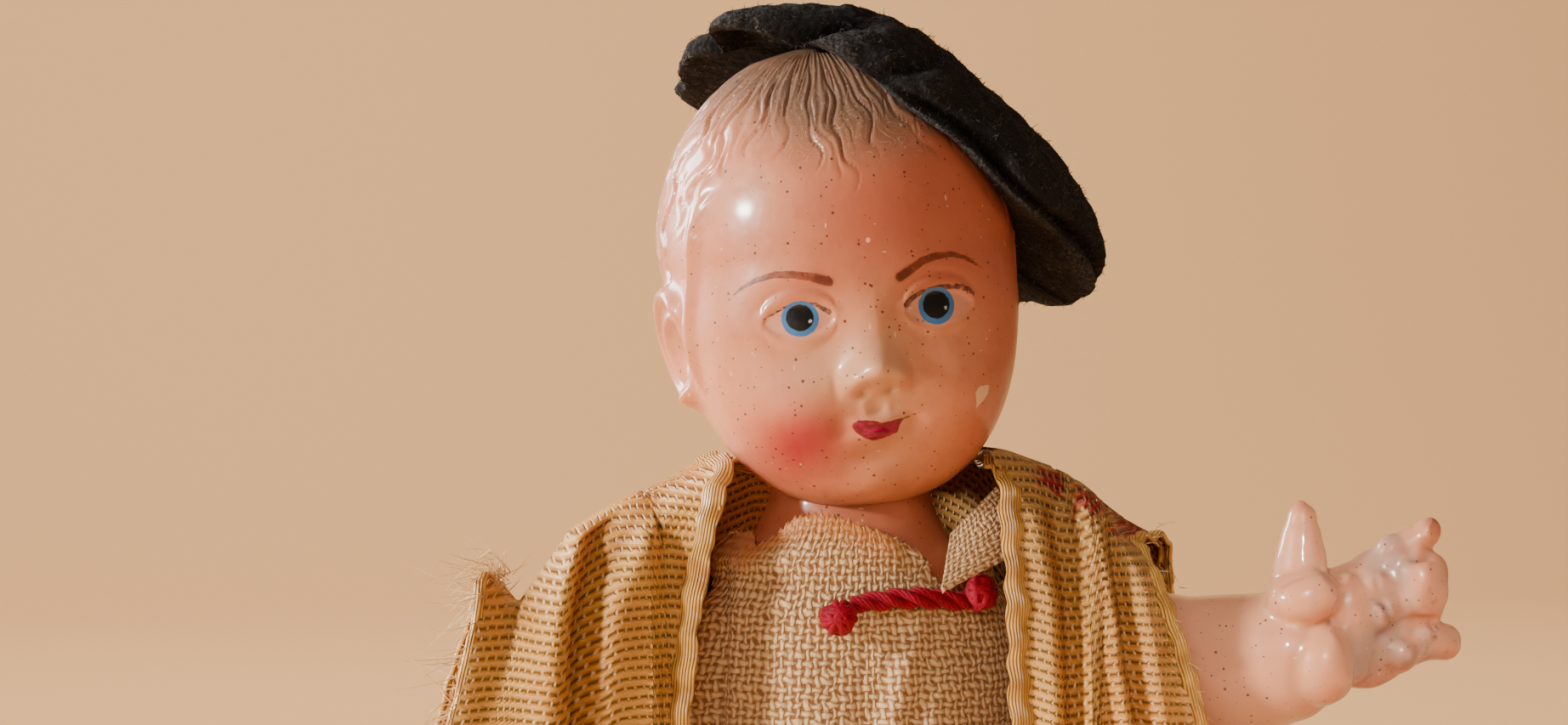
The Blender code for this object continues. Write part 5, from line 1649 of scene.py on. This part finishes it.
def make_cord(red):
    """Three twisted strands between the knots."""
    low_corner, high_corner = node_box("frog_cord")
    count = 90
    t = np.linspace(0.0, 1.0, count)
    x = low_corner[0] - 0.5 + (high_corner[0] - low_corner[0] + 1.0) * t
    z = (low_corner[2] + high_corner[2]) / 2.0 - 0.15 + 0.45 * np.sin(math.pi * t)
    angle = -90.0 + np.degrees(np.arcsin(np.clip(x / 12.7, -1.0, 1.0)))
    y = shirt_surface(angle, np.full(count, 106.0))[:, 1]
    middle = np.stack((x, y - 1.05, z), axis=1)
    paths = []
    for k in range(3):
        turn = 2.0 * math.pi * (k / 3.0) + t * 2.0 * math.pi * 1.6
        squeeze = 0.75 + 0.25 * np.sin(math.pi * t)
        swing = np.stack((0.0 * t, 0.36 * np.cos(turn), 0.5 * np.sin(turn)), axis=1) * squeeze[:, None]
        strand = middle + swing
        for j in range(5):
            own = 2.0 * math.pi * (j / 5.0) + t * 2.0 * math.pi * 4.2
            ply = np.stack((0.0 * t, 0.24 * np.cos(own), 0.24 * np.sin(own)), axis=1)
            paths.append(strand + ply)
    points, faces = tubes(paths, 0.17, 8)
    piece = add_piece("twisted_cord", make_mesh("twisted_cord", points, faces), red)
    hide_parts("frog_cord")
    return piece


def make_knot(name, node, seed, red, stretch):
    """A small ball of wound yarn."""
    low_corner, high_corner = node_box(node)
    centre = (low_corner + high_corner) / 2.0
    half = (high_corner - low_corner) / 2.0 * np.array(stretch)
    paths = []
    t = np.linspace(0.0, 1.0, 70)
    rng = np.random.default_rng(seed)
    for _ in range(9):
        pole = rng.normal(size=3)
        pole[1] *= 0.5
        pole /= np.linalg.norm(pole)
        first = np.cross(pole, [0.0, 1.0, 0.2])
        first /= np.linalg.norm(first)
        second = np.cross(pole, first)
        level = rng.uniform(-0.45, 0.45)
        turn = 2.0 * math.pi * t
        ring = np.outer(np.cos(turn), first) + np.outer(np.sin(turn), second)
        around = ring * math.sqrt(1.0 - level ** 2) + pole * level
        paths.append(centre + around * (half - 0.25))
    points, faces = tubes(paths, 0.3, 8)
    columns, rings = 30, 16
    angle = circle(columns)
    climb = np.linspace(-1.5, 1.5, rings)
    cc, aa = np.meshgrid(climb, angle, indexing="ij")
    core = np.stack((np.cos(cc) * np.cos(aa), np.cos(cc) * np.sin(aa), np.sin(cc)), axis=-1).reshape(-1, 3)
    core = centre + core * (half - 0.22)
    core_faces = grid_faces(rings, columns, wrap=True) + len(points)
    mesh = make_mesh(name, np.vstack((points, core)), np.vstack((faces, core_faces)))
    piece = add_piece(name, mesh, red)
    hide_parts(node)
    return piece


# Light, floor and camera

def make_stage():
    """A pale floor that sweeps up behind the doll."""
    bend, reach = 0.6, 1.7
    profile = [(-3.0, 0.0), (reach, 0.0)]
    for i in range(1, 17):
        turn = math.pi / 2.0 * i / 16
        profile.append((reach + bend * math.sin(turn), bend * (1.0 - math.cos(turn))))
    profile.append((reach + bend, 3.0))
    points = []
    for x in (-3.0, 3.0):
        points += [(x, y, z) for y, z in profile]
    count = len(profile)
    faces = [(i, i + 1, count + i + 1, count + i) for i in range(count - 1)]
    mesh = bpy.data.meshes.new("sweep")
    mesh.from_pydata(points, [], faces)
    mesh.shade_smooth()
    floor = add_object("sweep", mesh)
    n = Nodes("pale_paper")
    grain = n.noise(n.place(), 300.0, 2.0)
    n.set(Base_Color=n.mix(grain, (0.80, 0.475, 0.22), (0.82, 0.49, 0.235)), Roughness=0.9)
    mesh.materials.append(n.material)


def make_light(name, place, size, power, tone, mirrored=True, target=(0.0, 0.0, 0.115)):
    """A soft lamp; one that isn't mirrored leaves no highlight."""
    data = bpy.data.lights.new(name, "AREA")
    data.shape = "ELLIPSE"
    data.size = size[0]
    data.size_y = size[1]
    data.energy = power
    data.color = tone
    lamp = add_object(name, data)
    lamp.location = place
    lamp.visible_glossy = mirrored
    lamp.rotation_euler = (Vector(target) - Vector(place)).to_track_quat("-Z", "Y").to_euler()


def make_lights():
    """A warm key from the doll's right, a cool rim from behind it, soft fills and a lamp for the backdrop."""
    world = bpy.data.worlds.new("studio")
    world.use_nodes = True
    world.node_tree.nodes["Background"].inputs["Color"].default_value = (1.0, 0.86, 0.70, 1.0)
    world.node_tree.nodes["Background"].inputs["Strength"].default_value = 0.10
    bpy.context.scene.world = world
    make_light("key", (-0.70, -0.22, 0.33), (0.13, 0.06), 7.5, (1.0, 0.95, 0.88))
    make_light("low_key", (-0.42, -0.16, 0.04), (0.06, 0.06), 0.7, (1.0, 0.94, 0.86), False)
    make_light("rim", (-0.40, 0.34, 0.26), (0.20, 0.30), 5.0, (0.97, 0.97, 1.0))
    make_light("front", (-0.30, -0.80, 0.42), (0.40, 0.40), 2.7, (1.0, 0.90, 0.78), False)
    make_light("bounce", (0.45, -0.25, 0.06), (0.30, 0.20), 0.7, (1.0, 0.74, 0.50), False)
    make_light("backdrop", (0.1, 1.0, 1.2), (0.80, 0.60), 28.0, (1.0, 0.92, 0.81), False, (0.1, 2.0, 0.1))


def make_hand_light():
    """A narrow lamp that picks out the raised hand."""
    target = Vector(AXIS) + Vector((0.038, -0.010, 0.104))
    place = target + Vector((-0.04, -0.90, 0.43)) * 0.45
    make_light("hand", place, (0.016, 0.016), 0.0030, (1.0, 0.93, 0.85), True, target)
    bpy.data.lights["hand"].spread = math.radians(8.0)


def make_camera():
    """The camera looks from the photograph's side at the doll's chin."""
    azimuth = math.radians(VIEW_ANGLE)
    elevation = math.radians(VIEW_RISE)
    across = Vector((math.cos(azimuth), math.sin(azimuth), 0.0))
    level = math.cos(elevation)
    back = Vector((math.sin(azimuth) * level, -math.cos(azimuth) * level, math.sin(elevation)))
    target = Vector(AXIS) + across * (VIEW_ACROSS * 0.001) + Vector((0.0, 0.0, VIEW_HEIGHT * 0.001))
    data = bpy.data.cameras.new("camera")
    data.lens = 129.2
    data.sensor_width = 36.0
    data.clip_start = 0.01
    camera = add_object("camera", data)
    camera.location = target + back * (VIEW_DISTANCE * 0.001)
    camera.rotation_euler = back.to_track_quat("Z", "Y").to_euler()
    bpy.context.scene.camera = camera


make_camera()
make_stage()
make_lights()
make_hand_light()

skin = celluloid("celluloid_skin", False)
make_head()
make_left_arm(skin)
make_right_arm(skin)
painted_leg = shoe_paint()
make_leg("left_leg", "leg_left", 1, painted_leg)
make_leg("right_leg", "leg_right", -1, painted_leg)

dark_felt = felt("dark_felt", 0.25)
make_trousers(felt("dark_cloth", 0.08))

linen_cloth = linen()
shirt = make_shirt(linen_cloth)
flap = make_collar_flap(linen_cloth)
red = yarn()
make_cord(red)
make_knot("right_knot", "frog_knot_right", 45, red, (1.0, 1.0, 1.05))
make_knot("left_knot", "frog_knot_left", 25, red, (1.15, 1.0, 1.0))

straw = straw_cloth()
jacket = make_jacket(straw)
selvedge = ribbon_cloth()
bands = []
for name, side, column, width in (("right_band", -1, 1, 1.8), ("left_band", 1, 2, 2.0)):
    route = []
    for z in (64.2, 75.0, 86.0, 96.0, 102.0, 106.0, 110.0, 113.0, 115.2):
        x = float(np.interp(z, [row[0] for row in FRONT_EDGES], [row[column] for row in FRONT_EDGES]))
        x += side * width * 0.42
        route.append((x, jacket_front_y(x, z) - 0.3, z))
    route += [(side * 11.0, -5.0, 116.6), (side * 11.3, 1.0, 117.0), (side * 9.9, 6.6, 116.6)]
    route += [(side * 5.0, 9.6, 116.2), (side * 0.1, 10.4, 116.0)]
    route = np.array(route)
    over = 9.0 * ease(112.0, 116.8, route[:, 2])
    out = np.stack((route[:, 0] * 0.35, route[:, 1] - 2.0, over), axis=1)
    out /= np.linalg.norm(out, axis=1)[:, None]
    bands.append(make_band(name, route, out, width, selvedge, 1.0 + side))
right_ring, right_out = cuff_ring(RIGHT_CUFF)
left_ring, left_out = cuff_ring(LEFT_CUFF)
bands.append(make_band("right_cuff_edge", right_ring, right_out, 0.9, selvedge, 0.3, 0.3, 0.22))
bands.append(make_band("left_cuff_edge", left_ring, left_out, 1.3, selvedge, 2.1, 0.45, 0.3))
straw_fibre = loose_fibre("straw_fibre", (0.70, 0.42, 0.15), (0.92, 0.68, 0.38))
right_front = right_ring[right_ring[:, 1] < 0.5]
fray = make_fray("cuff_fray", right_front, (-0.8, -0.15, -0.35), 190, 4.6, 0.05, 0.4, 3, straw_fibre)
peak = right_ring[int(np.argmax(right_ring[:, 2]))]
torn = (peak + (0.6, -1.5, -2.0), peak + (0.2, -0.6, -0.6), peak + (1.4, 0.0, 0.0))
tuft = make_fray("shoulder_tuft", torn, (-0.5, -0.2, 0.8), 130, 3.2, 0.05, 0.6, 4, straw_fibre)
left_front = left_ring[left_ring[:, 1] < 3.0]
wisps = make_fray("left_cuff_fray", left_front, (0.8, -0.3, -0.2), 90, 1.4, 0.045, 0.5, 7, straw_fibre)
bands += [fray, tuft, wisps]

beret, felt_points, felt_faces = make_beret(dark_felt)
wool_fibre = loose_fibre("wool_fibre", (0.014, 0.011, 0.010), (0.075, 0.06, 0.05))
fuzz = make_fuzz("felt_fuzz", felt_points, felt_faces, 3600, 0.28, 8, wool_fibre)
